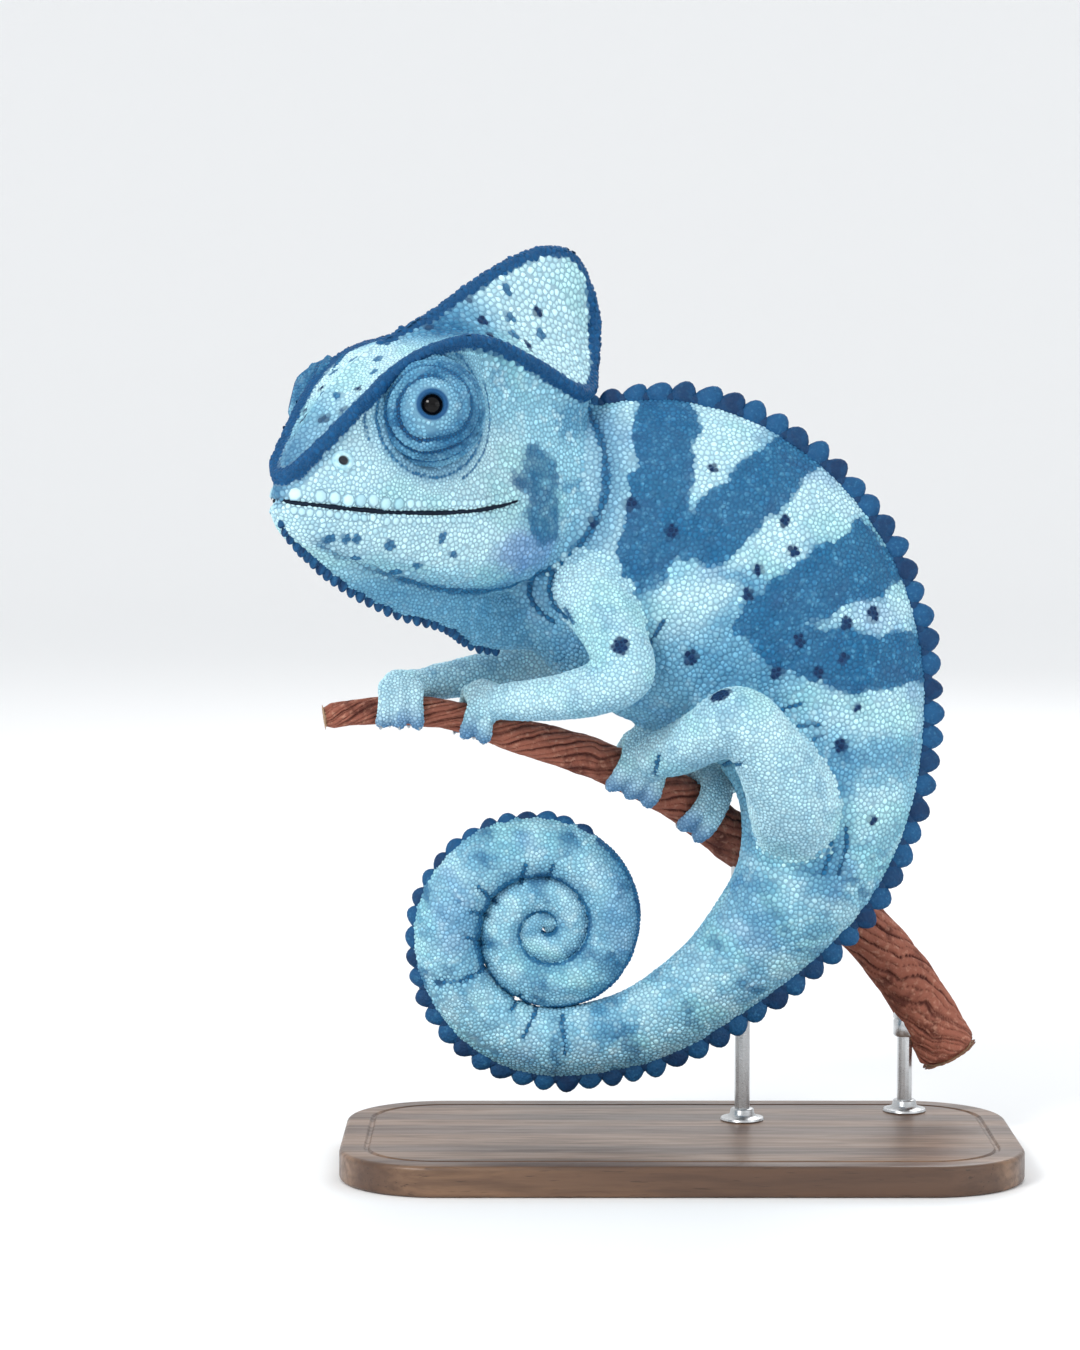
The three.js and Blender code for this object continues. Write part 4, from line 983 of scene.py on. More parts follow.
def skin_sleeves(bm, depth):
    """Adds the closed sleeves of the skin but the coil's and the tip's, and returns the points of all with
    zone, station and turn.
    """
    notes = []

    def note(place, around, along, zone, station):
        turn, share = grid_places(around, along)
        filled = np.ones(len(turn))
        notes.append(np.column_stack([place(turn, share), zone * filled, station(share) * filled, turn]))

    def add(place, around, along, zone, station=lambda share: share):
        sleeve(bm, place, around, along)
        note(place, around, along, zone, station)

    def still(station):
        return lambda share: station + 0 * share

    add(body_place(depth), 72, 230, TRUNK_ZONE, lambda share: share * (COIL_JOIN + 2))
    note(coil_place(depth), 64, 330, TRUNK_ZONE, lambda share: mixed(COIL_JOIN, LAST, share))
    note(tip_place(), *TIP_GRID, TRUNK_ZONE, still(LAST - 1.0))
    notes[-1][:, 5] = 0.25
    add(head_place(-depth), *HEAD_GRID, HEAD_ZONE)
    across = HEAD_TURN @ (0, 1, 0)
    add(tube_place(throat_path(), -depth, 0.72, across), 32, 60, THROAT_ZONE)
    for side in (1, -1):
        add(tube_place([(*p, 1.5) for p in ridge_path(side)]), 10, 120, HEAD_ZONE)
    crown = [(*p, r) for p, r in zip(crown_path(), (1.45,) * 8 + (1.3, 1.1, 0.8, 0.5))]
    add(tube_place(crown, across=across), 10, 90, HEAD_ZONE)
    add(tube_place([(*p, 1.4) for p in snout_path()], across=(0, 0, 1)), 10, 40, HEAD_ZONE)

    for name, (side, _, outer, inner, toe, path) in LIMBS.items():
        add(tube_place(path, -depth, 0.97, swell=muscle), 36, 70, LIMB_ZONE)
        *bend, thick = path[3]
        knob = [(*bend, thick * 0.9), (*(np.array(bend) + (1.6, side * 1.2, 1.0)), thick * 0.93)]
        add(tube_place(knob, -depth), 24, 24, LIMB_ZONE, still(0.5))
        hold, place = foot_place(name, 1)
        for way, count in ((1, outer), (-1, inner)):
            for i in range(count):
                add(tube_place(toe_path(name, way, i, count), across=hold["along"]), 20, 30, FOOT_ZONE)
        palm = [
            (*place(math.radians(20) * 0.6, toe * 1.15, slide * toe), toe * r)
            for slide, r in ((-1.5, 1.5), (-0.6, 1.85), (0.6, 1.85), (1.6, 1.55))
        ]
        add(tube_place(palm, -depth, 1.12), 28, 30, FOOT_ZONE, still(0))
        *wrist, thick = path[-1]
        middle = mixed(np.array(wrist), np.array(palm[2][:3]), 0.5)
        bridge = [(*wrist, thick * 0.92), (*middle, mixed(thick, toe * 1.8, 0.5)), (*palm[2][:3], toe * 1.6)]
        add(tube_place(bridge, -depth), 28, 20, FOOT_ZONE, still(0))
        if name.startswith("hind"):
            lean = unit(hold["along"] * 0.9 + hold["up"] * 0.35)
            root = hold["centre"] + hold["up"] * (hold["radius"] + toe * 1.9) + hold["along"] * toe * 1.8
            spur = [(*(root + lean * a), r) for a, r in ((-1.0, 2.1), (1.4, 1.6), (3.4, 1.0), (4.8, 0.6))]
            add(tube_place(spur), 14, 14, FOOT_ZONE, still(0))

    # Rings of folded skin round the eye turrets, laid on the head
    bare = bmesh.new()
    sleeve(bare, head_place(-depth), *HEAD_GRID)
    surface = BVHTree.FromBMesh(bare)
    bare.free()
    for side in (1, -1):
        for radius, thick in ((14.6, 1.15), (17.4, 0.8)):
            places = socket_ring(side, radius)
            near = nearest_on(surface, places)[0]
            gap = np.linalg.norm(places - near, axis=1, keepdims=True)
            near = np.where(gap > 0.1, near + unit(places - near) * 0.15, near)
            ring = [(*p, thick) for p in near]
            add(tube_place(ring[:-1] + ring[:2], across=across), 10, 120, HEAD_ZONE)
    return np.concatenate(notes)


def muscle(t):
    """How a leg swells and narrows along its length."""
    return 1 + 0.05 * np.sin(TAU * t * 2.1 + 0.4) - 0.05 * bell(t - 0.93, 0.06)


def build_skin(sizes):
    """The whole skin as one closed mesh: sleeves fused, softened where they meet, creased and marked."""
    depth = sizes.coat_depth / MM
    bm = bmesh.new()
    notes = skin_sleeves(bm, depth)
    face_out(bm)
    rough = make_object("body_sleeves", bm)
    fuse = rough.modifiers.new("Fuse", "REMESH")
    fuse.mode = "VOXEL"
    fuse.voxel_size = sizes.skin_grain
    mesh = bpy.data.meshes.new_from_object(rough.evaluated_get(bpy.context.evaluated_depsgraph_get()))
    bpy.data.objects.remove(rough)
    mesh.name = "body_skin"
    whole = bmesh.new()
    whole.from_mesh(mesh)
    sleeve(whole, coil_place(depth), *COIL_GRID)
    sleeve(whole, tip_place(), *TIP_GRID)
    face_out(whole)
    whole.to_mesh(mesh)
    whole.free()

    co = places_of(mesh) / MM
    links = Links(mesh)
    tree = tree_of(notes[:, :3])
    zone, station, turn = notes[[tree.find(point)[1] for point in co], 3:].T
    for _ in range(3):  # takes off the steps of the fused grid
        co = co + 0.5 * (links.mean(co) - co)
        co = co - 0.53 * (links.mean(co) - co)
    # Softens the seams between limbs, feet and body, and leaves the head firm
    a, b = zone[links.a], zone[links.b]
    soft = np.zeros(len(co))
    soft[links.a[(a != b) & (a != HEAD_ZONE) & (b != HEAD_ZONE)]] = 1.0
    for _ in range(7):
        soft = links.mean(soft) * 1.12
    soft = np.clip(soft * 1.6, 0, 1)[:, None]
    for _ in range(26):
        co = co + 0.5 * soft * (links.mean(co) - co)
    zone = np.where((zone == TRUNK_ZONE) & (station > TAIL_BASE), TAIL_ZONE, zone)
    move_to(mesh, co)
    co, dent = relief(co, normals_of(mesh), zone, station, turn)
    move_to(mesh, co)

    skin = linked("body_skin", mesh)
    centre, dorsal, lateral, rise, wide = spine(station)
    off = np.hypot(dots(co - centre, dorsal) / rise, dots(co - centre, lateral) / wide)
    buried = (zone == TAIL_ZONE) & (np.abs(station - COIL_JOIN - 1) < 1.3) & (off < 0.86)
    marks, tints = markings(co, zone, station, turn, normals_of(mesh)[:, 2])
    store(skin, buried=buried, zone=zone, station=station, turn=turn, dent=dent, marks=marks, tints=tints)
    return skin


def dots(a, b):
    return np.einsum("ij,ij->i", a, b)


def relief(co, normal, zone, station, turn):
    """Lips, throat pleats, ribs and creases, as places moved along the skin's normals."""
    u, v, w = to_head(co).T
    head = (zone == HEAD_ZONE) | (zone == THROAT_ZONE)
    away = w - mouth_level(u)
    along = np.maximum(smooth(20.0, 23.5, u) * head * (np.abs(v) > 1.0), head * (u > 67))
    groove = bell(away, 0.7)
    lift = along * (0.45 * bell(away - 2.2, 1.2) + 0.32 * bell(away + 2.0, 1.2) - groove)
    pleat = head * smooth(-9, -15, w) * smooth(79, 67, u)
    lift += 0.28 * pleat * np.sin(TAU * (w + 1.2 * waves(co, 18, 21)) / 3.4)
    body = (zone == TRUNK_ZONE) & (station > 1.6) & (station < 8.5)
    ridge = np.minimum(turn, 1 - turn)
    flank = body * smooth(0.10, 0.2, ridge) * smooth(0.47, 0.36, ridge)
    lift += 0.22 * flank * np.cos(TAU * station * 2.6 + 1.4 * waves(co, 30, 22))
    lift += 0.16 * waves(co, 12, 23) * (zone != FOOT_ZONE)
    depth = crease_depth(co, zone)
    return co + normal * (lift - depth)[:, None], np.clip(along * groove + depth, 0, 1)


# ---------------------------------------------------------------- scales
SCALE_SIDES = 7
TURNS = TAU * np.arange(SCALE_SIDES) / SCALE_SIDES
SHOULDER = 0.6  # how far out a scale's shoulder lies in its pattern, 0 to 1
UNWRAP_SIZE = 0.00145  # of one scale in its unwrap


def neighbours(points, normals, count):
    """The nearest points of each that face the same way, padded with itself."""
    tree = tree_of(points)
    index = np.empty((len(points), count), int)
    for i, point in enumerate(points):
        found = [j for _, j, _ in tree.find_n(point, count + 1) if j != i][:count]
        index[i] = found + [i] * (count - len(found))
    same = np.einsum("ij,ikj->ik", normals, normals[index]) > 0.15
    return np.where(same, index, np.arange(len(points))[:, None])


def frames_for(normals, rng):
    """Two unit directions across each normal, turned at random."""
    other = np.where(np.abs(normals[:, 2:3]) < 0.9, (0, 0, 1.0), (1.0, 0, 0))
    a = unit(np.cross(normals, other))
    b = np.cross(normals, a)
    spin = rng.uniform(0, TAU, len(normals))[:, None]
    return a * np.cos(spin) + b * np.sin(spin), b * np.cos(spin) - a * np.sin(spin)


def scale_shapes(points, normals, sizes, heights, gap, rng):
    """Joined domes, one for each point, each filling its share of the skin between its neighbours.

    Returns each dome's vertices and their flat places round its middle, 0 to 1.
    """
    near = neighbours(points, normals, 12)
    away = points[near] - points[:, None]
    distance = norms(away)
    distance[distance < 1e-6] = 1e6
    a, b = frames_for(normals, rng)
    fair = (distance**2 + sizes[:, None] ** 2 - sizes[near] ** 2) / (2 * distance)
    fair = np.clip(fair, 0.25 * sizes[:, None], None)
    ax, bx = (np.einsum("ikj,ij->ik", away, way) / distance for way in (a, b))
    facing = ax[:, :, None] * np.cos(TURNS) + bx[:, :, None] * np.sin(TURNS)
    reach = np.where(facing > 0.2, fair[:, :, None] / np.maximum(facing, 0.2), 1e6).min(1)
    reach = np.minimum(reach, 1.3 * sizes[:, None]) * gap
    ways = a[:, None] * np.cos(TURNS)[:, None] + b[:, None] * np.sin(TURNS)[:, None]
    up, tall = normals[:, None], heights[:, None, None]
    rim = points[:, None] + ways * reach[..., None] - up * (0.22 * tall + 0.12)
    shoulder = points[:, None] + ways * (reach * 0.66)[..., None] + up * (tall * 0.8)
    top = points + normals * heights[:, None]
    width = np.clip(reach / sizes[:, None], 0.2, 1)[..., None]
    spread_out = np.column_stack([np.cos(TURNS), np.sin(TURNS)]) * width
    flat = np.concatenate([np.zeros((len(points), 1, 2)), spread_out * SHOULDER, spread_out], axis=1)
    return np.concatenate([top[:, None], shoulder, rim], axis=1), flat


def scale_piece(name, shapes, chosen, values, uv):
    """One coat piece: the chosen domes with their root's pattern and place on the skin's unwrap."""
    verts, flat = (part[chosen] for part in shapes)
    count, each = verts.shape[:2]
    ring, after = 1 + np.arange(SCALE_SIDES), 1 + (np.arange(SCALE_SIDES) + 1) % SCALE_SIDES
    fan = np.column_stack([0 * ring, ring, after])
    skirt = np.column_stack([ring, SCALE_SIDES + ring, SCALE_SIDES + after, after])
    one = np.concatenate([fan.ravel(), skirt.ravel()])
    corners = (np.arange(count)[:, None] * each + one).ravel()
    sizes = np.tile(np.repeat([3, 4], SCALE_SIDES), count)
    obj = joined_object(name, verts.reshape(-1, 3) * MM, corners, sizes)
    share = np.repeat([0.0, SHOULDER, 1.0], [1, SCALE_SIDES, SCALE_SIDES])
    values = {key: np.repeat(data[chosen], each, axis=0) for key, data in values.items()}
    store(obj, **values, rim=np.tile(share, count))
    spots = (uv[chosen][:, None] + flat * UNWRAP_SIZE).reshape(-1, 2)
    layer = obj.data.uv_layers.new(name=UNWRAP)
    layer.data.foreach_set("uv", spots[corners].astype(np.float32).ravel())
    return obj


def scale_radius(points, zone, station):
    """Wished radius of a scale at each place of the skin."""
    u, _, w = to_head(points).T
    tail = np.interp(station, (TAIL_BASE, COIL_FIRST, LAST), (0.70, 0.62, 0.42))
    radius = np.choose(zone.astype(int), (0.72, tail, 0.68, 0.58, 0.60, 0.52))
    head = zone == HEAD_ZONE
    casque = head * smooth(30, 40, w) + head * smooth(24, 34, w) * smooth(14, 4, u)
    radius = np.where(head, mixed(radius, 0.95, np.clip(casque, 0, 1)), radius)
    socket = np.minimum(*(norms(points - eye_frame(s)[0]) for s in (1, -1)))
    return np.where(head & (socket < 21), 0.5, radius)


def rows_of_scales(surface):
    """Seeds set one by one: plates along both lips and on the raised bands."""
    rows = []

    def along_band(path, first, lift):
        line = curve(path)
        length = norms(np.diff(line(np.linspace(0, 1, 200)), axis=0)).sum()
        for share in np.arange(first, 0.99, 1.75 / length):
            rows.append((line(share) + lift(line(share)), 0.95))

    def outwards(point):
        u, _, w = to_head(point)
        return unit(point - from_head((u, 0, w - 4))) * 1.4

    for side in (1, -1):
        for offset, small, large in ((2.3, 1.0, 1.85), (-1.9, 0.9, 1.2)):
            u = 84.0
            while u > 23:
                growth = smooth(50, 62, u)
                radius = float(mixed(small, large, growth))
                v = side * float(cheek_out(u)) * mixed(1.0, 1.4, float(smooth(84, 78, u)))
                w = float(mouth_level(u)) + offset * mixed(0.7, 1, growth)
                rows.append((from_head((u, v, w)), radius))
                u -= 1.9 * radius * mixed(0.5, 1.0, float(smooth(86, 76, u)))
        along_band(ridge_path(side), 0.01, outwards)
    along_band(crown_path(), 0.02, lambda point: HEAD_TURN @ (0, 0, 1.4))
    spots = nearest_on(surface, [point for point, _ in rows])[0]
    placed = []
    for (point, radius), spot in zip(rows, spots):
        if np.linalg.norm(point - spot) < 9:
            if all(np.linalg.norm(spot - other) > 0.75 * (radius + r) for other, r in placed[-40:]):
                placed.append((spot, radius))
    return placed


def spread(surface, points, wished, steps, firm=0):
    """Pushes places on a surface apart to their wished distances; the first ones stay."""
    normals = nearest_on(surface, points)[1]
    for _ in range(steps):
        near = neighbours(points, normals, 7)
        away = points[:, None] - points[near]
        distance = norms(away)
        wanted = (wished[:, None] + wished[near]) * 0.97
        push = np.clip(1 - distance / wanted, 0, 1) * (distance > 1e-6)
        move = (away / np.maximum(distance, 1e-6)[..., None] * (push * wanted * 0.42)[..., None]).sum(1)
        move[:firm] = 0
        move -= normals * dots(move, normals)[:, None]
        length = np.linalg.norm(move, axis=1, keepdims=True)
        points = points + move * np.minimum(1, 0.7 * wished[:, None] / np.maximum(length, 1e-9))
        points, normals, _ = nearest_on(surface, points)
    return points, normals


def crowding(points, normals, wished):
    """Which places still lie too close to another."""
    near = neighbours(points, normals, 6)
    count = np.arange(len(points))
    distance = norms(points[:, None] - points[near])
    distance[near == count[:, None]] = 1e9
    return (distance.min(1) < 0.42 * wished) & (count > near[count, distance.argmin(1)])


def scale_seeds(mesh, spacing, rng):
    """Even seeds over the skin: set rows first, then scattered ones pushed apart to their wished distance."""
    co, normal = places_of(mesh) / MM, normals_of(mesh)
    zone, station, dent, buried = (get_values(mesh, key) for key in ("zone", "station", "dent", "buried"))
    mesh.calc_loop_triangles()
    tris = read(mesh.loop_triangles, "vertices", 3, np.int32)
    radius = scale_radius(co, zone, station) * spacing
    c = co[tris]
    area = 0.5 * norms(np.cross(c[:, 1] - c[:, 0], c[:, 2] - c[:, 0]))
    hidden = np.maximum(under_turrets(co), buried)
    wish = area / (3.3 * radius[tris].mean(1) ** 2)
    wish *= 1 - hidden[tris].mean(1)
    wish *= 1 - np.clip(1.6 * (dent[tris].mean(1) - 0.45), 0, 1)
    count = int(wish.sum())
    draws = (np.arange(count) + rng.uniform(0, 1, count)) * wish.sum() / count
    picked = np.clip(np.searchsorted(np.cumsum(wish), draws), 0, len(tris) - 1)
    r1, r2 = np.sqrt(rng.uniform(0, 1, (count, 1))), rng.uniform(0, 1, (count, 1))
    c = c[picked]
    loose = c[:, 0] * (1 - r1) + c[:, 1] * (r1 * (1 - r2)) + c[:, 2] * (r1 * r2)

    surface = BVHTree.FromPolygons([tuple(p) for p in co * MM], [tuple(t) for t in tris])
    placed = rows_of_scales(surface)
    firm = len(placed)
    points = np.vstack([[p for p, _ in placed], loose])
    corner_tree = tree_of(co)

    def nearest_corner(places):
        return np.array([corner_tree.find(p)[1] for p in places])

    total = len(points)
    wished = radius[nearest_corner(points)] * np.where(
        rng.uniform(0, 1, total) < 0.16, 1.3, rng.uniform(0.86, 1.04, total)
    )
    wished[:firm] = [r for _, r in placed]
    points, _ = spread(surface, points, wished, 7, firm)
    vert = nearest_corner(points)
    crowded = crowding(points, normal[vert], wished)
    crowded[:firm] = False
    keep = ~crowded & (hidden[vert] < 0.5)
    return points[keep], vert[keep], wished[keep], nearest_on(surface, points)[2][keep], tris


def unwrap_places(mesh, points, faces, tris):
    """Where each seed lies on the skin's unwrap."""
    uv = read(mesh.uv_layers[UNWRAP].data, "uv", 2)
    loops = read(mesh.loop_triangles, "loops", 3, np.int32)[faces]
    corners = places_of(mesh)[tris[faces]] / MM
    a, b = corners[:, 1] - corners[:, 0], corners[:, 2] - corners[:, 0]
    p = points - corners[:, 0]
    aa, ab, bb, pa, pb = (dots(m, n) for m, n in ((a, a), (a, b), (b, b), (p, a), (p, b)))
    scale = np.maximum(aa * bb - ab * ab, 1e-12)
    s, t = (bb * pa - ab * pb) / scale, (aa * pb - ab * pa) / scale
    weights = np.clip(np.column_stack([1 - s - t, s, t]), 0, 1)
    weights /= weights.sum(1, keepdims=True)
    return np.einsum("ij,ijk->ik", weights, uv[loops])


def under_turrets(points):
    """1 where an eye turret hides the scales."""
    hide = np.zeros(len(points))
    for side in (1, -1):
        foot, turn, _ = eye_frame(side)
        local = (points - foot) @ turn
        hide = np.maximum(hide, norms(local - (0, 0, 1.2)) < TURRET_RADIUS - 0.2)
    return hide


# ---------------------------------------------------------------- eyes, face, crests and claws
GRANULE = 0.5  # radius of the granules on the eye turrets
TURRET_CORNERS = (
    (6.2, -7.8), (10.6, -5.3), (13, -1.9), (13.6, 1.5), (12.7, 5.5), (10.1, 10.7), (5.6, 14.6), (4, 15.45),
    (3.1, 15.6), (2.75, 15.1), (2.7, 12.6),
)
NOSTRIL_CORNERS = (
    (0, 0.1), (0.95, 0.16), (1.08, 0.4), (1.25, 0.78), (1.55, 0.9), (1.95, 0.7), (2.3, 0.2), (2.45, -0.9),
)
# Small cones on the chin before the throat's row: u, w and how far each turns forward
CHIN_CONES = ((79.6, -11.0, 0.45), (81.9, -9.7, 0.55), (84.0, -8.0, 0.75), (85.8, -6.0, 1.0))


def turn_to(axis):
    """The turn that takes Z to an axis."""
    return np.array(Vector((0, 0, 1)).rotation_difference(Vector(axis)).to_matrix())


def turned(bm, verts, turn, at):
    """Sets verts made round the origin in place, in millimetres."""
    where = Matrix.Translation(Vector(at) * MM) @ Matrix(turn).to_4x4()
    bmesh.ops.transform(bm, matrix=where, verts=verts)


def lathe(profile, steps=64, close=2e-6):
    """A round piece from radius, height points in millimetres, turned about Z and closed."""
    bm = bmesh.new()
    verts = [bm.verts.new((r * MM, 0, h * MM)) for r, h in profile]
    edges = [bm.edges.new(pair) for pair in zip(verts, verts[1:])]
    bmesh.ops.spin(
        bm, geom=verts + edges, cent=(0, 0, 0), axis=(0, 0, 1), angle=TAU, steps=steps, use_merge=True
    )
    bmesh.ops.remove_doubles(bm, verts=bm.verts, dist=close)
    return bm


def closed_lathe(profile, steps):
    bm = lathe(profile, steps)
    close_holes(bm)
    face_out(bm)
    return bm


def turret_profile():
    line = curve([(r, h, 0) for r, h in TURRET_CORNERS])
    return line(np.linspace(0, 1, 130))[:, :2]


def turret_fold(local):
    """Height of the turret's spiral folds and how deep each place lies in one."""
    climb = np.arctan2(local[:, 2] - 1.5, np.hypot(local[:, 0], local[:, 1]))
    angle = np.arctan2(local[:, 1], local[:, 0])
    wander = 0.8 * np.sin(angle * 2 + 0.6) + 0.5 * np.sin(angle * 3 + 2) + 0.3 * np.sin(angle * 5 + climb * 6)
    phase = climb * 20 + angle + wander
    strength = smooth(-0.7, -0.2, climb) * smooth(1.15, 0.9, climb)
    strength = strength * mixed(0.45, 1, smooth(-0.6, 0.5, np.sin(angle * 1 + climb * 5)))
    lift = 0.5 * np.cos(phase) + 0.15 * np.cos(2 * phase)
    return strength * lift, strength * smooth(-0.35, -0.85, np.cos(phase))


def build_turret(side, rng):
    """An eye turret with spiral folds, and the seeds of its granules."""
    foot, turn, _ = eye_frame(side)
    profile = turret_profile()
    bm = closed_lathe(profile, 128)
    lift, folds = turret_fold(np.array([v.co[:] for v in bm.verts]) / MM)
    bm.normal_update()
    ways = [v.normal[:] for v in bm.verts]
    for vert, move, way in zip(bm.verts, lift, ways):
        vert.co += Vector(way) * float(move) * MM
    turned(bm, bm.verts, turn, foot)
    obj = make_object(f"turret_{dict(SIDES)[side]}", bm)
    marks, tints = turret_pattern(places_of(obj.data) / MM, side, folds)
    # The folds' depth, stored as dent, also lays painted shade through the skin's finish
    store(obj, dent=folds, marks=marks, tints=tints)

    surface = surface_of(obj.data)
    radius, height = profile.T
    reach = np.append(0, np.cumsum(norms(np.diff(profile, axis=0))))
    start = float(np.interp(-6.0, height[:40], reach[:40]))
    end = reach[np.argmin(np.abs(radius - 4.6) + (height < 10) * 9)]
    steps = np.linspace(start, end, 200)
    out = np.interp(steps, reach, radius)
    count = int(TAU * out.mean() * (end - start) / (3.3 * GRANULE**2))
    along = np.interp(rng.uniform(0, 1, count), np.cumsum(out) / out.sum(), steps)
    angle = rng.uniform(0, TAU, count)
    r, h = np.interp(along, reach, radius), np.interp(along, reach, height)
    seeds = np.column_stack([r * np.cos(angle), r * np.sin(angle), h]) @ turn.T + foot
    wished = np.full(count, GRANULE)
    points, normals = spread(surface, seeds, wished, 8)
    keep = ~crowding(points, normals, wished)
    return obj, points[keep], normals[keep]


def turret_pattern(co, side, folds):
    """Marks and tints of a turret: painted shade in its folds, blue washes and a pale lid with a dark rim
    round the pupil.
    """
    foot, turn, _ = eye_frame(side)
    x, y, z = ((co - foot) @ turn).T
    out = np.hypot(x, y)
    wash = waves(co, 9, 30 + side)
    lid = smooth(8.5, 5.0, out) * (z > 11)
    shade = np.clip(1.0 + 0.2 * wash, 0, 1) * (1 - 0.3 * lid)
    patches = 0.3 * smooth(-0.5, 0.7, waves(co, 12, 34 + side))
    # The folds are darkened with painted shade through the bar and band masks
    bar = np.clip(0.3 + 0.3 * (side < 0) + patches - 0.3 * lid + 0.6 * folds, 0, 1)
    band = np.maximum(smooth(4.3, 3.6, out) * (z > 12), 0.8 * folds)
    no = np.zeros(len(co))
    tints = np.column_stack([0.15 * lid, 0.35 * smooth(0, 1, wash), no, no])
    return np.column_stack([bar, no, band, shade]), tints


def build_granules(side, word, points, normals, rng):
    """The fine round scales of a turret."""
    foot, turn, _ = eye_frame(side)
    local = (points - foot) @ turn
    marks, tints = turret_pattern(points, side, turret_fold(local)[1])
    wished = np.full(len(points), GRANULE)
    shapes = scale_shapes(points, normals, wished, wished * 0.4, 0.95, rng)
    values = {"marks": marks, "tints": tints, "tone": rng.uniform(0, 1, len(points))}
    angle, lift = np.arctan2(local[:, 1], local[:, 0]), (local[:, 2] + 4) / 22
    uv = 0.5 + np.column_stack([np.cos(angle), np.sin(angle)]) * (0.46 * (1 - 0.75 * lift))[:, None]
    return scale_piece(f"granules_turret_{word}", shapes, np.arange(len(points)), values, uv)


def build_eyeball(side, word):
    """A ball with a clear bulge over the pupil."""
    foot, turn, axis = eye_frame(side)
    bm = bmesh.new()
    ball = bmesh.ops.create_uvsphere(bm, u_segments=40, v_segments=28, radius=EYEBALL_RADIUS * 0.985 * MM)
    verts = ball["verts"]
    radial = []
    for vert in verts:
        x, y, z = vert.co / MM
        radial.append(math.hypot(x, y) if z > 0 else 9.0)
        if z > 0:
            vert.co *= 1 + 0.05 * max(0.0, 1 - math.hypot(x, y) / 2.6)
    turned(bm, verts, turn, foot + axis * EYEBALL_DEEP)
    obj = make_object(f"eyeball_{word}_wet", bm)
    store(obj, radial=np.array(radial))
    return obj


def skin_surface():
    """The skin and a tree to cast on."""
    skin = bpy.data.objects.get("body_skin")
    if skin is None:
        raise RuntimeError("make the skin first")
    return skin, surface_of(skin.data)


def cast_on_head(tree, u, side, w):
    """Where a ray from the side meets the skin of the head, with the normal there."""
    start = from_head((u, 30.0 * side, w))
    hit = tree.ray_cast(Vector(start * MM), Vector(unit(from_head((u, 0, w)) - start)))
    if hit[0] is None:
        raise RuntimeError("no skin at that place of the head")
    return np.array(hit[0]) / MM, np.array(hit[1])


def build_nostril(tree, side, word):
    """A small raised ring round a shallow pit painted dark as the shade of the nostril's opening."""
    point, normal = cast_on_head(tree, 73, side, 11.0)
    bm = closed_lathe(NOSTRIL_CORNERS, 40)
    out = np.array([math.hypot(v.co.x, v.co.y) for v in bm.verts]) / MM
    for vert in bm.verts:
        vert.co.x *= 1.2
    turned(bm, bm.verts, turn_to(normal), point + normal * 0.25)
    obj = make_object(f"nostril_{word}", bm)
    store(obj, pit=1.0 - np.clip((out - 1.0) / 0.2, 0, 1))
    return obj


def build_lip_shade(tree):
    """A dark line of painted shade where the closed lips meet, from one corner round the snout to the other.
    """
    halves = []
    for side in (1, -1):
        half = []
        for u in np.append(np.linspace(22.2, 79.5, 34), (81.5, 83)):
            point, _ = cast_on_head(tree, float(u), side, float(mouth_level(u)))
            outer = point - unit(from_head((u, 0, mouth_level(u))) - point) * 0.1
            half.append((*outer, 0.62 * float(mixed(0.45, 1, smooth(22, 30, u)))))
        halves.append(half)
    bm = bmesh.new()
    tip = [(*from_head((84.5, v, 0.6)), 0.55) for v in (2.2, 0, -2.2)]
    lip_shade = halves[0] + tip + halves[1][::-1]
    sleeve(bm, tube_place(lip_shade, across=HEAD_TURN @ (0, 0, 1)), 10, 260)
    face_out(bm)
    return make_object("mouth_seam", bm)


class Lobes:
    """The soft spines of one crest: tapered balls with a foot in the skin."""

    def __init__(self):
        self.bm, self.tone, self.rise = bmesh.new(), [], []

    def add(self, at, along, up, size, root, lean, tone):
        """One spine whose size is its half length, half width and height."""
        length, wide, height = size
        verts = bmesh.ops.create_uvsphere(self.bm, u_segments=14, v_segments=9, radius=1.0)["verts"]
        x, y, z = np.array([v.co[:] for v in verts]).T
        rise = np.clip(z, 0, 1)
        slim = 1 - 0.12 * rise**2
        z = np.where(z > 0, z * height, z * root)
        x = x * length * slim + lean * rise**1.3
        y = y * wide * slim
        places = at + x[:, None] * along + y[:, None] * np.cross(up, along) + z[:, None] * up
        for vert, point in zip(verts, places):
            vert.co = point * MM
        self.tone.extend([tone] * len(verts))
        self.rise.extend(rise)

    def made(self, name):
        obj = make_object(name, self.bm)
        store(obj, tone=np.array(self.tone), rise=np.array(self.rise))
        return obj


def build_crest(rng):
    """The crest of back and tail: overlapping spines that lean a little to the tail."""
    lobes = Lobes()
    places = crest_places()
    for i, number in enumerate(places):
        centre, dorsal, _, rise, _ = spine(number)
        along = heading(spine_line, number / LAST)
        size = float(crest_size(number))
        length = CREST_PITCH * size**0.35 * rng.uniform(0.54, 0.66)
        height = CREST_HEIGHT * size * rng.uniform(0.84, 1.04)
        shape = (length, mixed(1.2, 2.1, size), height + 0.5)
        lean, tone = rng.uniform(0.0, 0.3) * height, (0.15, 0.75, 0.45, 1.0, 0.3)[i % 5]
        lobes.add(centre + dorsal * (rise - 0.5), along, dorsal, shape, 2.0, lean, tone)
        if i + 1 < len(places):
            centre, dorsal, _, rise, _ = spine((number + places[i + 1]) / 2)
            shape = (length * 0.6, mixed(1.0, 1.8, size), height * 0.36 + 0.6)
            lobes.add(centre + dorsal * (rise - 0.6), along, dorsal, shape, 1.5, 0, 0.8)
    return lobes.made("dorsal_crest")


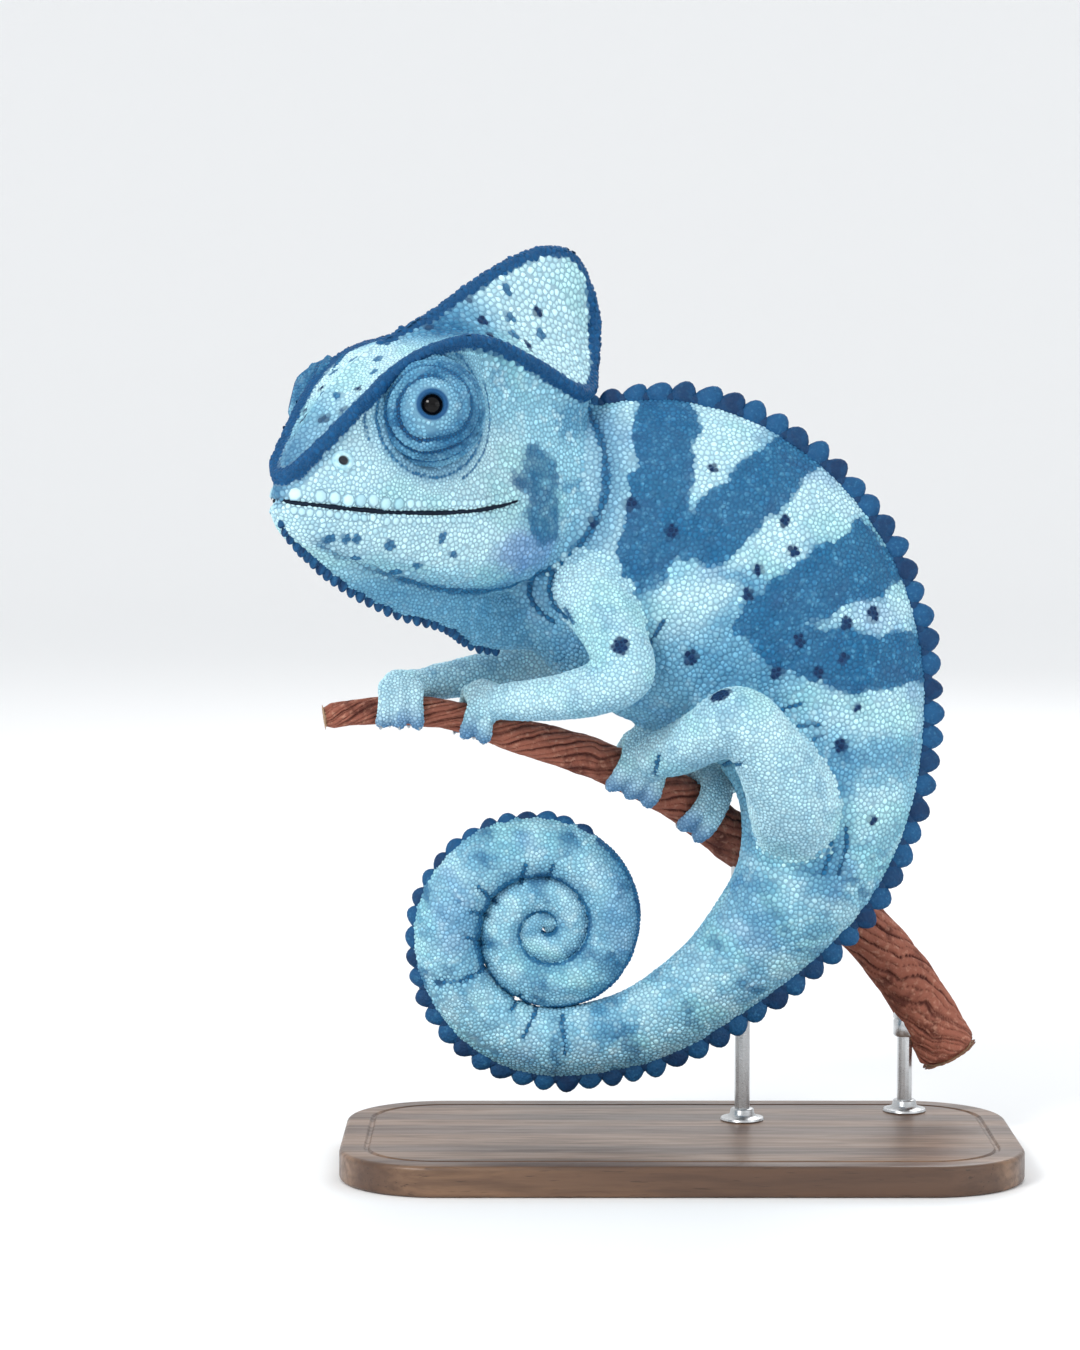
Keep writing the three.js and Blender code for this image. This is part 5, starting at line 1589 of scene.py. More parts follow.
def build_gular_crest(rng, tree):
    """The row of small cones under chin and throat."""
    lobes = Lobes()
    line, size = tube_lines(throat_path())
    for i, t in enumerate(np.linspace(0.03, 0.86, 27)):
        along = heading(line, t)
        down = unit(np.cross(HEAD_TURN @ (0, 1, 0), along))
        down = -down if down[2] > 0 else down
        shape = (mixed(1.75, 1.3, t), 1.15, mixed(2.3, 1.3, t) * rng.uniform(0.92, 1.05) + 0.6)
        at = line(t) + down * (float(size(t)[0]) - 0.9)
        lobes.add(at, along, down, shape, 1.4, 0.25, (0.3, 1.0, 0.6)[i % 3])
    for i, (u, w, tilt) in enumerate(CHIN_CONES):
        down = HEAD_TURN @ (math.sin(tilt), 0, -math.cos(tilt))
        along = HEAD_TURN @ (-math.cos(tilt), 0, -math.sin(tilt))
        found = nearest_on(tree, [from_head((u, 0, w))])[0][0]
        shape = (1.5 - 0.12 * i, 1.05, 2.2 - 0.25 * i)
        lobes.add(found - down * 0.3, along, down, shape, 1.4, 0.2, (0.6, 0.3, 1.0)[i % 3])
    return lobes.made("gular_crest")


def build_claws():
    """The hooked claws of every toe."""
    bm = bmesh.new()
    for name, (_, _, outer, inner, toe, _) in LIMBS.items():
        for way, count in ((1, outer), (-1, inner)):
            hold, place = foot_place(name, way)
            for i in range(count):
                path = []
                for share in np.linspace(0, 1, 6):
                    angle = TOE_WRAP - 0.16 + CLAW_LENGTH * 1.05 * share / (hold["radius"] + toe)
                    lift = mixed(toe * 0.95 + 0.4, 0.5, share**1.6)
                    radius = CLAW_RADIUS * mixed(1.05, 0.22, share**0.8)
                    path.append((*place(angle, lift, toe_slide(toe, i, count, 1 + 0.15 * share)), radius))
                sleeve(bm, tube_place(path, flat=0.8, across=hold["along"]), 12, 16)
    face_out(bm)
    return make_object("claws", bm)


# ---------------------------------------------------------------- branch, stand and studio
BRANCH_CAP = 0.035  # share of the perch's sleeve in each sawn end
# Radius and height of the collars: a flange on the base, and a ferrule under the branch
COLLARS = {
    "flange": (
        (2, 0), (5.6, 0), (5.8, 0.3), (5.6, 0.8), (4.1, 1.1), (3.3, 1.7), (3.1, 2.9), (2.8, 3.2), (2, 3.2),
        (2, 0),
    ),
    "ferrule": (
        (2, -7.5), (2.7, -7.5), (3.1, -7), (3.1, -3.2), (2.9, -3), (2.9, -2.7), (3.2, -2.5), (3.2, 1.4),
        (2, 1.4), (2, -7.5),
    ),
}
SKY = (0.97, 0.985, 1.0, 1)
LIGHT_AIM = Vector((-0.015, 0, 0.12))
# Name, place, size and colour
SOFTBOXES = (
    ("key", (-0.75, -1.0, 1.05), 0.38, (1, 0.985, 0.96)),
    ("fill", (1.15, -0.85, 0.55), 0.9, (0.95, 0.98, 1)),
    ("rim", (0.35, 1.1, 1.0), 0.7, (1, 1, 1)),
)
CAMERA_AIM = Vector((-0.0364, 0, 0.1281))
CAMERA_TILT = math.radians(4)
SENSOR = 36
VIEW_HEIGHT = 0.351  # what the camera's sensor takes in at the aim, in metres


def branch_round(t):
    """Middle of the branch, its direction and the two directions round it."""
    along = heading(branch_line, t)
    side = unit(np.array((0.0, 1.0, 0.0)) - along * along[:, 1:2])
    return branch_line(t), along, side, np.cross(along, side)


def build_branch():
    """The perch: twisted fibrous bark between two sawn ends."""
    length = norms(np.diff(branch_line(np.linspace(0, 1, 400)), axis=0)).sum()

    def place(turn, share):
        t = np.clip((share - BRANCH_CAP) / (1 - 2 * BRANCH_CAP), 0, 1)
        core = np.clip(np.minimum(share, 1 - share) / BRANCH_CAP, 0, 1)
        centre, _, side, over = branch_round(t)
        radius = branch_size(t)[:, 0]

        def ring(reach):
            out, rise = reach * np.cos(TAU * turn), reach * np.sin(TAU * turn)
            return centre + side * out[:, None] + over * rise[:, None]

        groove, lump = bark_depth(ring(radius), turn, t * length)
        rim = smooth(0.0, 0.06, np.minimum(t, 1 - t) * 4) * 0.25 + 0.75
        reach = radius - 0.75 * groove + 0.35 * lump - 0.1
        return ring(reach * np.minimum(core * 1.04, 1.0) * np.where(core < 1, 1.0, rim))

    bm = bmesh.new()
    sleeve(bm, place, 150, 420)
    face_out(bm)
    obj = make_object("perch_bark", bm)
    co = places_of(obj.data) / MM
    t = np.linspace(0, 1, 500)
    tree = tree_of(branch_line(t))
    t = t[[tree.find(p)[1] for p in co]]
    centre, along, side, over = branch_round(t)
    away = co - centre
    turn = np.arctan2(dots(away, over), dots(away, side)) / TAU % 1
    groove, _ = bark_depth(co, turn, t * length + dots(away, along))
    core = norms(away) / branch_size(t)[:, 0]
    sawn = (np.minimum(t, 1 - t) < 0.002) * smooth(0.93, 0.88, core)
    store(obj, groove=groove * (1 - sawn), sawn=sawn, core=core)
    return obj


def bark_depth(points, turn, reach):
    """How deep the bark's twisted fibres part, 0 to 1, and how far it swells."""
    warp = 0.35 * waves(points, 26, 40) + 0.12 * waves(points, 9, 41)
    coarse = np.abs(np.sin(math.pi * (7 * turn + reach / 8 + warp)))
    fine = np.abs(np.sin(math.pi * (15 * turn + reach / 3.7 + 2 * warp)))
    groove = bell(coarse, 0.26) * (0.65 + 0.35 * waves(points, 12, 42)) + 0.6 * bell(fine, 0.3)
    return np.clip(groove, 0, 1), waves(points, 22, 43)


def build_base():
    """The stand's foot: a walnut slab with rounded corners, softened edges and one routed line."""
    length, width, height = (s * MM for s in BASE_SIZE)
    bm = bmesh.new()
    slab = bmesh.ops.create_cube(bm, size=1.0)["verts"]
    bmesh.ops.scale(bm, vec=(length, width, height), verts=slab)
    bmesh.ops.translate(bm, vec=(0, 0, height / 2), verts=slab)

    def soften(edges, offset, segments):
        bmesh.ops.bevel(
            bm, geom=edges, offset=offset * MM, offset_type="OFFSET", segments=segments, profile=0.5,
            affect="EDGES", material=-1,
        )

    def rise(edge):
        return abs(edge.verts[0].co.z - edge.verts[1].co.z)

    def between_levels(edge):
        return len({round(f.normal.z, 2) for f in edge.link_faces}) > 1

    soften([e for e in bm.edges if rise(e) > height / 2], BASE_CORNER, 16)
    soften([e for e in bm.edges if rise(e) < 1e-6 and between_levels(e)], 1.2, 4)
    top = [f for f in bm.faces if f.normal.z > 0.99 and f.calc_area() > 0.004]
    for thickness, depth in ((5.0, 0.0), (0.5, -0.55), (0.7, 0.0), (0.5, 0.55)):
        bmesh.ops.inset_region(
            bm, faces=top, thickness=thickness * MM, depth=depth * MM, use_even_offset=True
        )
    bmesh.ops.triangulate(bm, faces=[f for f in bm.faces if len(f.verts) > 4])
    face_out(bm)
    obj = make_object("stand_slab", bm)
    obj.data.set_sharp_from_angle(angle=math.radians(40))
    return obj


def build_collar(name, x, kind, profile):
    """A turned steel collar on a rod."""
    hold = branch_at(x)
    low = BASE_SIZE[2] if kind == "flange" else hold["centre"][2] - hold["radius"]
    bm = closed_lathe(profile, 40)
    bmesh.ops.translate(bm, vec=Vector((*hold["centre"][:2], low)) * MM, verts=bm.verts)
    obj = make_object(name, bm)
    obj.data.set_sharp_from_angle(angle=math.radians(50))
    return obj


def build_floor():
    """A round floor that bends up into a low wall all round, facing inwards."""
    bend = [(2.6 + 0.9 * math.sin(a), 0.9 - 0.9 * math.cos(a)) for a in np.linspace(0, math.pi / 2, 12)]
    profile = [(0, 0), (1.2, 0), *bend, (3.5, 1.5)]
    bm = lathe([(r / MM, h / MM) for r, h in profile], 96, 1e-5)
    face_out(bm)
    if sum(f.normal.z * f.calc_area() for f in bm.faces) < 0:
        bmesh.ops.reverse_faces(bm, faces=bm.faces)
    return make_object("studio_floor", bm)


# ---------------------------------------------------------------- materials
# Fixed colours of small parts; those of the folds, the scale feet, the lip line and the nostril's pit are
# painted shade
TONES = {
    "fold": (0.012, 0.03, 0.07), "glaze": (0.35, 0.6, 0.75), "scale_foot_shade": (0.03, 0.12, 0.26),
    "claw": (0.16, 0.21, 0.27), "claw_light": (0.46, 0.52, 0.56),
    "lip_shade": (0.004, 0.006, 0.012), "lip_shade_light": (0.012, 0.025, 0.05), "pit": (0.006, 0.01, 0.02),
    "pupil": (0.0015, 0.0015, 0.002), "iris": (0.008, 0.02, 0.04), "iris_fleck": (0.04, 0.08, 0.13),
    "eye_rim": (0.01, 0.03, 0.07), "eye_rim_fleck": (0.03, 0.08, 0.16),
    "sawn": (0.52, 0.36, 0.22), "sawn_ring": (0.30, 0.18, 0.10), "heart": (0.18, 0.10, 0.06),
    "walnut": (0.105, 0.052, 0.028), "walnut_light": (0.215, 0.118, 0.064),
    "walnut_dark": (0.062, 0.03, 0.017), "pore": (0.03, 0.014, 0.008),
    "steel": (0.50, 0.51, 0.52), "steel_light": (0.66, 0.67, 0.68), "studio": (0.93, 0.935, 0.94),
}
MASKS = ("Marks", "Mark Shade", "Tints", "Tint Teal")
WASH_INPUTS = ("Color", "Deep", "Light", "Amount", "Size")
PIGMENTS = ("ground", "pale", "middle", "bar", "spot", "band", "violet", "teal", "shadow")


def fill(socket, value):
    """Links a source to a socket or sets its value; a colour may leave out its alpha."""
    if isinstance(value, bpy.types.NodeSocket):
        socket.id_data.links.new(value, socket)
    else:
        socket.default_value = (*value, 1.0) if socket.type == "RGBA" and len(value) == 3 else value


class Nodes:
    """Short ways to add nodes to one tree; most give the socket that comes out."""

    def __init__(self, tree):
        self.tree = tree
        self.at = self.put("TexCoord").outputs["Object"]

    def put(self, kind, inputs=None, **settings):
        made = self.tree.nodes.new("ShaderNode" + kind)
        for key, value in settings.items():
            setattr(made, key, value)
        for key, value in (inputs or {}).items():
            fill(made.inputs[key], value)
        return made

    def mix(self, share, a, b, mode="MIX"):
        return self.put("Mix", {0: share, 6: a, 7: b}, data_type="RGBA", blend_type=mode).outputs[2]

    def maths(self, operation, *values):
        return self.put("Math", dict(enumerate(values)), operation=operation).outputs[0]

    def times(self, a, b):
        return self.maths("MULTIPLY", a, b)

    def ramp(self, value, low, high, to_low=0.0, to_high=1.0):
        spans = dict(enumerate((value, low, high, to_low, to_high)))
        return self.put("MapRange", spans, interpolation_type="SMOOTHSTEP").outputs[0]

    def noise(self, size, detail=3.0, rough=0.5, turn=0.0, at=None):
        """Noise whose patches are about size across, in metres; a socket gives its scale instead."""
        scale = size if isinstance(size, bpy.types.NodeSocket) else 1 / size
        names = ("Vector", "Scale", "Detail", "Roughness", "Distortion")
        values = (at or self.at, scale, detail, rough, turn)
        return self.put("TexNoise", dict(zip(names, values))).outputs["Fac"]

    def cells(self, scale):
        return self.put("TexVoronoi", {"Vector": self.at, "Scale": scale}, feature="F1").outputs["Distance"]

    def stretched(self, scale):
        return self.put("Mapping", {"Vector": self.at, "Scale": scale}).outputs[0]

    def value(self, name):
        return self.put("Attribute", attribute_name=name).outputs["Fac"]


def shared_group(name, ins, recipe):
    """A shader node group that puts out one colour, made once; the recipe gives that colour."""
    if name in bpy.data.node_groups:
        return bpy.data.node_groups[name]
    group = bpy.data.node_groups.new(name, "ShaderNodeTree")
    for label, default in ins.items():
        plain = isinstance(default, float)
        kind = "NodeSocketFloat" if plain else "NodeSocketColor"
        socket = group.interface.new_socket(name=label, in_out="INPUT", socket_type=kind)
        socket.default_value = default if plain else (*default, 1.0)
    group.interface.new_socket(name="Color", in_out="OUTPUT", socket_type="NodeSocketColor")
    made = recipe(Nodes(group), group.nodes.new("NodeGroupInput").outputs)
    group.links.new(made, group.nodes.new("NodeGroupOutput").inputs[0])
    return group


def wash_recipe(n, ins):
    """Soft uneven pigment over a colour: wide clouds that deepen it and small ones that lighten it."""
    wide = n.noise(n.maths("DIVIDE", 1.0, ins["Size"]), 4.0, 0.55, 0.6)
    small = n.noise(n.maths("DIVIDE", 4.3, ins["Size"]), 2.0)
    deep = n.times(n.ramp(wide, 0.48, 0.72), ins["Amount"])
    light = n.times(n.ramp(small, 0.52, 0.75), ins["Amount"])
    return n.mix(light, n.mix(deep, ins["Color"], ins["Deep"]), ins["Light"])


def washed(n, colour, deep, light, amount, size):
    """A colour with the pigment wash over it."""
    plain = ((0.5, 0.7, 0.8), (0.2, 0.4, 0.6), (0.8, 0.9, 0.95), 0.5, 0.012)
    group = shared_group("Pigment Wash", dict(zip(WASH_INPUTS, plain)), wash_recipe)
    values = dict(zip(WASH_INPUTS, (colour, deep, light, amount, size)))
    return n.put("Group", values, node_tree=group).outputs[0]


def pattern_recipe(n, ins):
    """The pattern with its painted shade: bars, wedges, spots and bands by their masks over washed ground
    colours, painted shade in the middle colour by the shade mask, and a painted shadow on the toes.
    """
    marks, tints = (n.put("SeparateColor", {0: ins[name]}).outputs for name in ("Marks", "Tints"))
    base = washed(n, ins["Ground"], ins["Middle"], ins["Pale"], 0.75, 0.013)
    # The shade mask lays the middle colour, for deeper clouds and for painted shade
    for mask, weight, tint in (
        (tints[0], 0.85, "Pale"), (ins["Tint Teal"], 0.5, "Teal"), (tints[1], 0.8, "Violet"),
        (ins["Mark Shade"], 0.72, "Middle"),
    ):
        base = n.mix(n.times(mask, weight), base, ins[tint])
    ragged = n.times(n.maths("SUBTRACT", n.noise(0.004), 0.5), 0.5)
    # The bar mask with ragged edges: the bars and the dark lines of painted shade
    bar_and_shade_lines = n.ramp(n.maths("ADD", marks[0], ragged), 0.25, 0.75)
    bar = washed(n, ins["Bar"], ins["Band"], ins["Middle"], 0.8, 0.009)
    base = n.mix(n.times(bar_and_shade_lines, 0.92), base, bar)
    # Painted shadow on the toes under the branch
    base = n.mix(n.times(tints[2], 0.75), base, ins["Shadow"])
    return n.mix(marks[1], n.mix(marks[2], base, ins["Band"]), ins["Spot"])


def patterned(n, colours):
    """The pattern's colour with its painted shade, by the masks that the skin and its scales carry."""
    ins = {name.capitalize(): getattr(colours, name) for name in PIGMENTS}
    ins |= dict(zip(MASKS, ((0, 0, 0), 0.0) * 2))
    group = shared_group("Chameleon Pattern", ins, pattern_recipe)
    marks, tints = (n.put("Attribute", attribute_name=name).outputs for name in ("marks", "tints"))
    masks = zip(MASKS, (marks["Color"], marks["Alpha"], tints["Color"], tints["Alpha"]))
    return n.put("Group", dict(masks), node_tree=group).outputs[0]


def make_look(name, recipe, **values):
    """A material with a Principled shader, whose recipe gives its colour, bump and roughness.

    The bump is a height with its strength and its depth in metres.
    """
    material = bpy.data.materials.new(name)
    material.use_nodes = True
    n = Nodes(material.node_tree)
    shader = n.tree.nodes["Principled BSDF"].inputs
    for key, value in values.items():
        shader[key.replace("_", " ")].default_value = value
    colour, bump, rough = recipe(n, bpy.context.scene.chameleon_colours)
    fill(shader["Base Color"], colour)
    if bump is not None:
        relief = n.put("Bump", dict(zip(("Height", "Strength", "Distance"), bump)))
        fill(shader["Normal"], relief.outputs[0])
    if rough is not None:
        fill(shader["Roughness"], rough)
    return material


def skin_look(n, c):
    """Between the scales: the same pattern, deeper, partly the skin's own darker colour and partly painted
    shade under the scales, with painted shade in its dents and folds, and pebbled.
    """
    dark = n.mix(0.42, patterned(n, c), c.band)
    # Painted shade in the creases, the lips' groove and the turrets' folds, by their depth
    dark = n.mix(n.times(n.value("dent"), 0.75), dark, TONES["fold"])
    return dark, (n.cells(2200.0), 0.5, 0.0003), n.ramp(n.noise(0.003), 0.3, 0.7, 0.6, 0.8)


def scale_look(n, c):
    """The pattern with each scale a touch lighter or darker than the next, and painted shade at its foot."""
    base, tone, rim = patterned(n, c), n.value("tone"), n.value("rim")
    lit = n.mix(n.ramp(tone, 0.45, 1.0, 0.0, 0.6), base, n.mix(0.4, base, base, "ADD"))
    lit = n.mix(n.ramp(tone, 0.5, 0.0, 0.0, 0.3), lit, n.mix(1.0, lit, TONES["glaze"], "MULTIPLY"))
    # Painted shade at each scale's foot, where it meets the skin
    foot = n.mix(n.ramp(rim, 0.62, 1.0, 0.0, 0.6), lit, TONES["scale_foot_shade"])
    dull = n.ramp(n.noise(0.005), 0.3, 0.7, 0.42, 0.58)
    return foot, (n.noise(0.0006, 3.0, 0.6), 0.22, 0.0002), n.maths("ADD", dull, n.times(rim, 0.12))


def crest_look(n, c):
    wash = washed(n, c.crest, c.spot, c.middle, 0.35, 0.004)
    base = n.mix(n.ramp(n.value("tone"), 0.35, 0.95, 0.0, 0.85), wash, c.spot)
    # Painted shade towards the foot of each spine, where it meets the back and its neighbours
    base = n.mix(n.ramp(n.value("rise"), 0.55, 0.0, 0.0, 0.35), base, c.band)
    pebble = n.cells(1250.0)
    return base, (n.maths("SUBTRACT", 1.0, pebble), 0.5, 0.0004), n.ramp(pebble, 0.0, 0.7, 0.45, 0.66)


def claw_look(n, c):
    grain = n.noise(0.0012, 4.0, 0.6, 0.8)
    base = n.mix(n.ramp(grain, 0.3, 0.7), TONES["claw"], TONES["claw_light"])
    return base, (grain, 0.3, 0.0002), n.ramp(grain, 0.3, 0.7, 0.24, 0.42)


def lip_shade_look(n, c):
    grain = n.noise(0.002)
    # Near black painted shade of the gap between the lips
    return n.mix(grain, TONES["lip_shade"], TONES["lip_shade_light"]), (grain, 0.3, 0.0003), None


def nostril_look(n, c):
    grain = n.noise(0.0015)
    rim = n.mix(n.ramp(grain, 0.35, 0.7), c.pale, c.ground)
    # The pit is painted near black as the shade inside the nostril
    return n.mix(n.value("pit"), rim, TONES["pit"]), (grain, 0.3, 0.0002), None


def eye_look(n, c):
    """A wet dark eye: black pupil, thin iris and a deep blue rim under a clear coat."""
    radial, fleck = n.value("radial"), n.noise(0.0004, 3.0, 0.6)
    iris = n.mix(n.ramp(fleck, 0.35, 0.7), TONES["iris"], TONES["iris_fleck"])
    rim = n.mix(n.ramp(fleck, 0.3, 0.8), TONES["eye_rim"], TONES["eye_rim_fleck"])
    ring = n.mix(n.ramp(radial, 2.7, 2.9), iris, rim)
    return n.mix(n.ramp(radial, 2.35, 2.6), TONES["pupil"], ring), None, n.ramp(radial, 1.6, 2.4, 0.06, 0.16)


def bark_look(n, c):
    """Red brown fibrous bark with dark grooves, and growth rings on the sawn ends."""
    groove, core, fibre = n.value("groove"), n.value("core"), n.noise(0.0011, 5.0, 0.7, 1.2)
    wash = washed(n, c.bark, c.bark_dark, c.bark_light, 0.8, 0.006)
    bark = n.mix(n.ramp(groove, 0.1, 0.8), wash, c.bark_dark)
    bark = n.mix(n.ramp(fibre, 0.5, 0.75, 0.0, 0.4), bark, c.bark_light)
    rings = n.times(n.maths("ADD", core, n.times(n.noise(0.004), 0.09)), 52.0)
    wood = n.mix(n.ramp(n.maths("SINE", rings), -0.4, 0.9), TONES["sawn"], TONES["sawn_ring"])
    wood = n.mix(n.ramp(core, 0.2, 0.0, 0.0, 0.6), wood, TONES["heart"])
    height = n.maths("SUBTRACT", fibre, n.times(groove, 0.6))
    return n.mix(n.value("sawn"), bark, wood), (height, 0.6, 0.0006), n.ramp(fibre, 0.3, 0.7, 0.7, 0.92)


def walnut_look(n, c):
    long = n.stretched((0.09, 1.0, 1.0))
    grain, pores = n.noise(1 / 420, 6.0, 0.6, 0.4, long), n.noise(1 / 1500, 2.0, at=long)
    waved = {"Vector": long, "Scale": 16.0, "Distortion": 7.0, "Detail": 3.0, "Detail Scale": 1.2}
    figure = n.put("TexWave", waved, bands_direction="Y").outputs["Fac"]
    base = n.mix(n.ramp(figure, 0.15, 0.9), TONES["walnut"], TONES["walnut_light"])
    base = n.mix(n.ramp(grain, 0.35, 0.7, 0.0, 0.6), base, TONES["walnut_dark"])
    pore = n.ramp(pores, 0.62, 0.72)
    base = n.mix(n.times(pore, 0.6), base, TONES["pore"])
    return base, (n.maths("SUBTRACT", grain, pore), 0.12, 0.0003), n.ramp(grain, 0.3, 0.7, 0.32, 0.46)


def steel_look(n, c):
    brush = n.noise(1 / 900, at=n.stretched((1.0, 1.0, 14.0)))
    base = n.mix(n.ramp(n.noise(0.012), 0.35, 0.7), TONES["steel"], TONES["steel_light"])
    return base, (brush, 0.1, 0.0001), n.ramp(brush, 0.3, 0.7, 0.24, 0.4)


def studio_look(n, c):
    return TONES["studio"], None, None


# ---------------------------------------------------------------- settings
def amount(name, description, default, low=0.0, high=1000.0, **kind):
    return FloatProperty(name=name, description=description, default=default, min=low, max=high, **kind)


def tint(name, description, default):
    kind = {"size": 3, "min": 0, "max": 1, "subtype": "COLOR"}
    return FloatVectorProperty(name=name, description=description, default=default, **kind)


LENGTH, FACTOR, POWER = {"subtype": "DISTANCE", "unit": "LENGTH"}, {"subtype": "FACTOR"}, {"unit": "POWER"}


class ChameleonSizes(bpy.types.PropertyGroup):
    """Sizes of the skin and its scales."""

    coat_depth: amount("Coat Depth", "Depth of the skin inside the solids", 0.00045, 0.0002, 0.001, **LENGTH)
    skin_grain: amount("Skin Grain", "Grain of the fused skin mesh", 0.00105, 0.0007, 0.002, **LENGTH)
    scale_spacing: amount("Scale Size", "Size of all scales over their natural size", 1.0, 0.7, 2.0, **FACTOR)
    scale_height: amount("Scale Height", "Height of a scale over its radius", 0.34, 0.1, 0.8, **FACTOR)
    seed: IntProperty(name="Seed", description="Start of the random spread of scales", default=7, min=0)


class ChameleonColours(bpy.types.PropertyGroup):
    """Colours of skin, crest and perch."""

    ground: tint("Ground", "Main colour of the skin", (0.33, 0.64, 0.77))
    pale: tint("Pale", "Pale wedges and casque", (0.60, 0.86, 0.92))
    # Middle is also laid as painted shade by the shade mask
    middle: tint("Middle", "Deeper clouds in the skin", (0.070, 0.28, 0.47))
    # Bars also give the dark lines of painted shade in creases and where parts meet
    bar: tint("Bars", "Bars on the flanks", (0.004, 0.115, 0.265))
    spot: tint("Spots", "Small dark spots", (0.004, 0.025, 0.085))
    band: tint("Head Bands", "Raised bands of the head", (0.005, 0.075, 0.205))
    violet: tint("Violet", "Faint violet patches", (0.11, 0.23, 0.52))
    teal: tint("Teal", "Faint green tint", (0.28, 0.68, 0.66))
    # Painted shadow on the undersides of the toes under the branch
    shadow: tint("Shadow", "Undersides of the toes", (0.05, 0.17, 0.38))
    crest: tint("Crest", "Crest spines", (0.010, 0.090, 0.225))
    bark: tint("Bark", "Bark of the perch", (0.34, 0.115, 0.075))
    bark_dark: tint("Bark Grooves", "Grooves of the bark", (0.085, 0.020, 0.014))
    bark_light: tint("Bark Ridges", "Worn ridges of the bark", (0.52, 0.25, 0.17))


class ChameleonStudio(bpy.types.PropertyGroup):
    """Light and camera."""

    key_power: amount("Key Light", "Power of the main softbox", 9.5, **POWER)
    fill_power: amount("Fill Light", "Power of the fill softbox", 2.5, **POWER)
    rim_power: amount("Rim Light", "Power of the light behind", 5.0, **POWER)
    sky: amount("Sky", "Strength of the even light all round", 0.92)
    lens: amount("Lens", "Focal length in millimetres", 100.0, 20, unit="CAMERA")


# ---------------------------------------------------------------- operators
SKIN_NODES = (
    ["head", "lower_jaw", "throat", "neck", "trunk_front", "trunk_rear", "pelvis"]
    + [f"tail_{i}" for i in range(1, 9)]
    + [f"{limb}_{part}" for limb in LIMBS for part in ("upper_leg", "lower_leg", "foot")]
)
COATS = {
    "trunk": TRUNK_ZONE, "tail": TAIL_ZONE, "head": HEAD_ZONE, "throat": THROAT_ZONE, "limbs": LIMB_ZONE,
    "feet": FOOT_ZONE,
}
MOST_SCALES = 9400  # in one coat piece
SIDES = ((1, "left"), (-1, "right"))
DONE = {"FINISHED"}


class CHAMELEON_OT_skin(bpy.types.Operator):
    """Make the body's skin, with its folds, pattern and unwrap"""

    bl_idname = "chameleon.skin"
    bl_label = "Skin"

    def execute(self, context):
        skin = build_skin(context.scene.chameleon_sizes)
        for obj in context.selected_objects:
            obj.select_set(False)
        context.view_layer.objects.active = skin
        skin.select_set(True)
        bpy.ops.object.mode_set(mode="EDIT")
        bpy.ops.mesh.select_all(action="SELECT")
        skin.data.uv_layers.new(name=UNWRAP)
        bpy.ops.uv.smart_project(angle_limit=math.radians(66), island_margin=0.002)
        bpy.ops.object.mode_set(mode="OBJECT")
        look = make_look("soft_skin", skin_look, Roughness=0.7, Specular_IOR_Level=0.35)
        finished(skin, look, "skin", *SKIN_NODES)
        return DONE


class CHAMELEON_OT_scales(bpy.types.Operator):
    """Cover the skin with scales, each a solid dome, in one piece for each part of the body"""

    bl_idname = "chameleon.scales"
    bl_label = "Scales"

    def execute(self, context):
        sizes = context.scene.chameleon_sizes
        mesh, rng = skin_surface()[0].data, np.random.default_rng(sizes.seed)
        points, vert, wished, faces, tris = scale_seeds(mesh, sizes.scale_spacing, rng)
        normal = normals_of(mesh)[vert]
        zone, station, turn = (get_values(mesh, key)[vert] for key in ("zone", "station", "turn"))
        heights = wished * sizes.scale_height
        heights = np.where(zone == HEAD_ZONE, heights * 0.8, heights)
        shapes = scale_shapes(points, normal, wished, heights, 0.96, rng)
        marks, tints = markings(points, zone, station, turn, normal[:, 2])
        values = {"marks": marks, "tints": tints, "tone": rng.uniform(0, 1, len(points))}
        uv = unwrap_places(mesh, points, faces, tris)
        look = make_look("dry_scales", scale_look, Roughness=0.55, Specular_IOR_Level=0.2)
        for part, number in COATS.items():
            chosen = np.where(zone == number)[0]
            chosen = chosen[np.argsort(points[chosen, 0])]
            pieces = max(1, math.ceil(len(chosen) / MOST_SCALES))
            for i, share in enumerate(np.array_split(chosen, pieces)):
                name = f"scales_{part}" + (f"_{i + 1}" if pieces > 1 else "")
                finished(scale_piece(name, shapes, share, values, uv), look, "skin")
        return DONE


class CHAMELEON_OT_eyes(bpy.types.Operator):
    """Make both eye turrets with their folds and granules, and the wet eyes inside them"""

    bl_idname = "chameleon.eyes"
    bl_label = "Eyes"

    def execute(self, context):
        rng = np.random.default_rng(context.scene.chameleon_sizes.seed + 1)
        skin_finish, scale_finish = (bpy.data.materials.get(name) for name in ("soft_skin", "dry_scales"))
        if skin_finish is None or scale_finish is None:
            raise RuntimeError("make the skin and its scales first")
        wet = make_look(
            "wet_eye", eye_look,
            Roughness=0.12, Coat_Weight=0.6, Coat_Roughness=0.02, Coat_IOR=1.4, Specular_IOR_Level=0.0,
        )
        for side, word in SIDES:
            turret, points, normals = build_turret(side, rng)
            finished(turret, skin_finish, "skin", f"eye_turret_{word}")
            finished(build_granules(side, word, points, normals, rng), scale_finish, "skin")
            finished(build_eyeball(side, word), wet, "eye", f"eyeball_{word}")
        return DONE


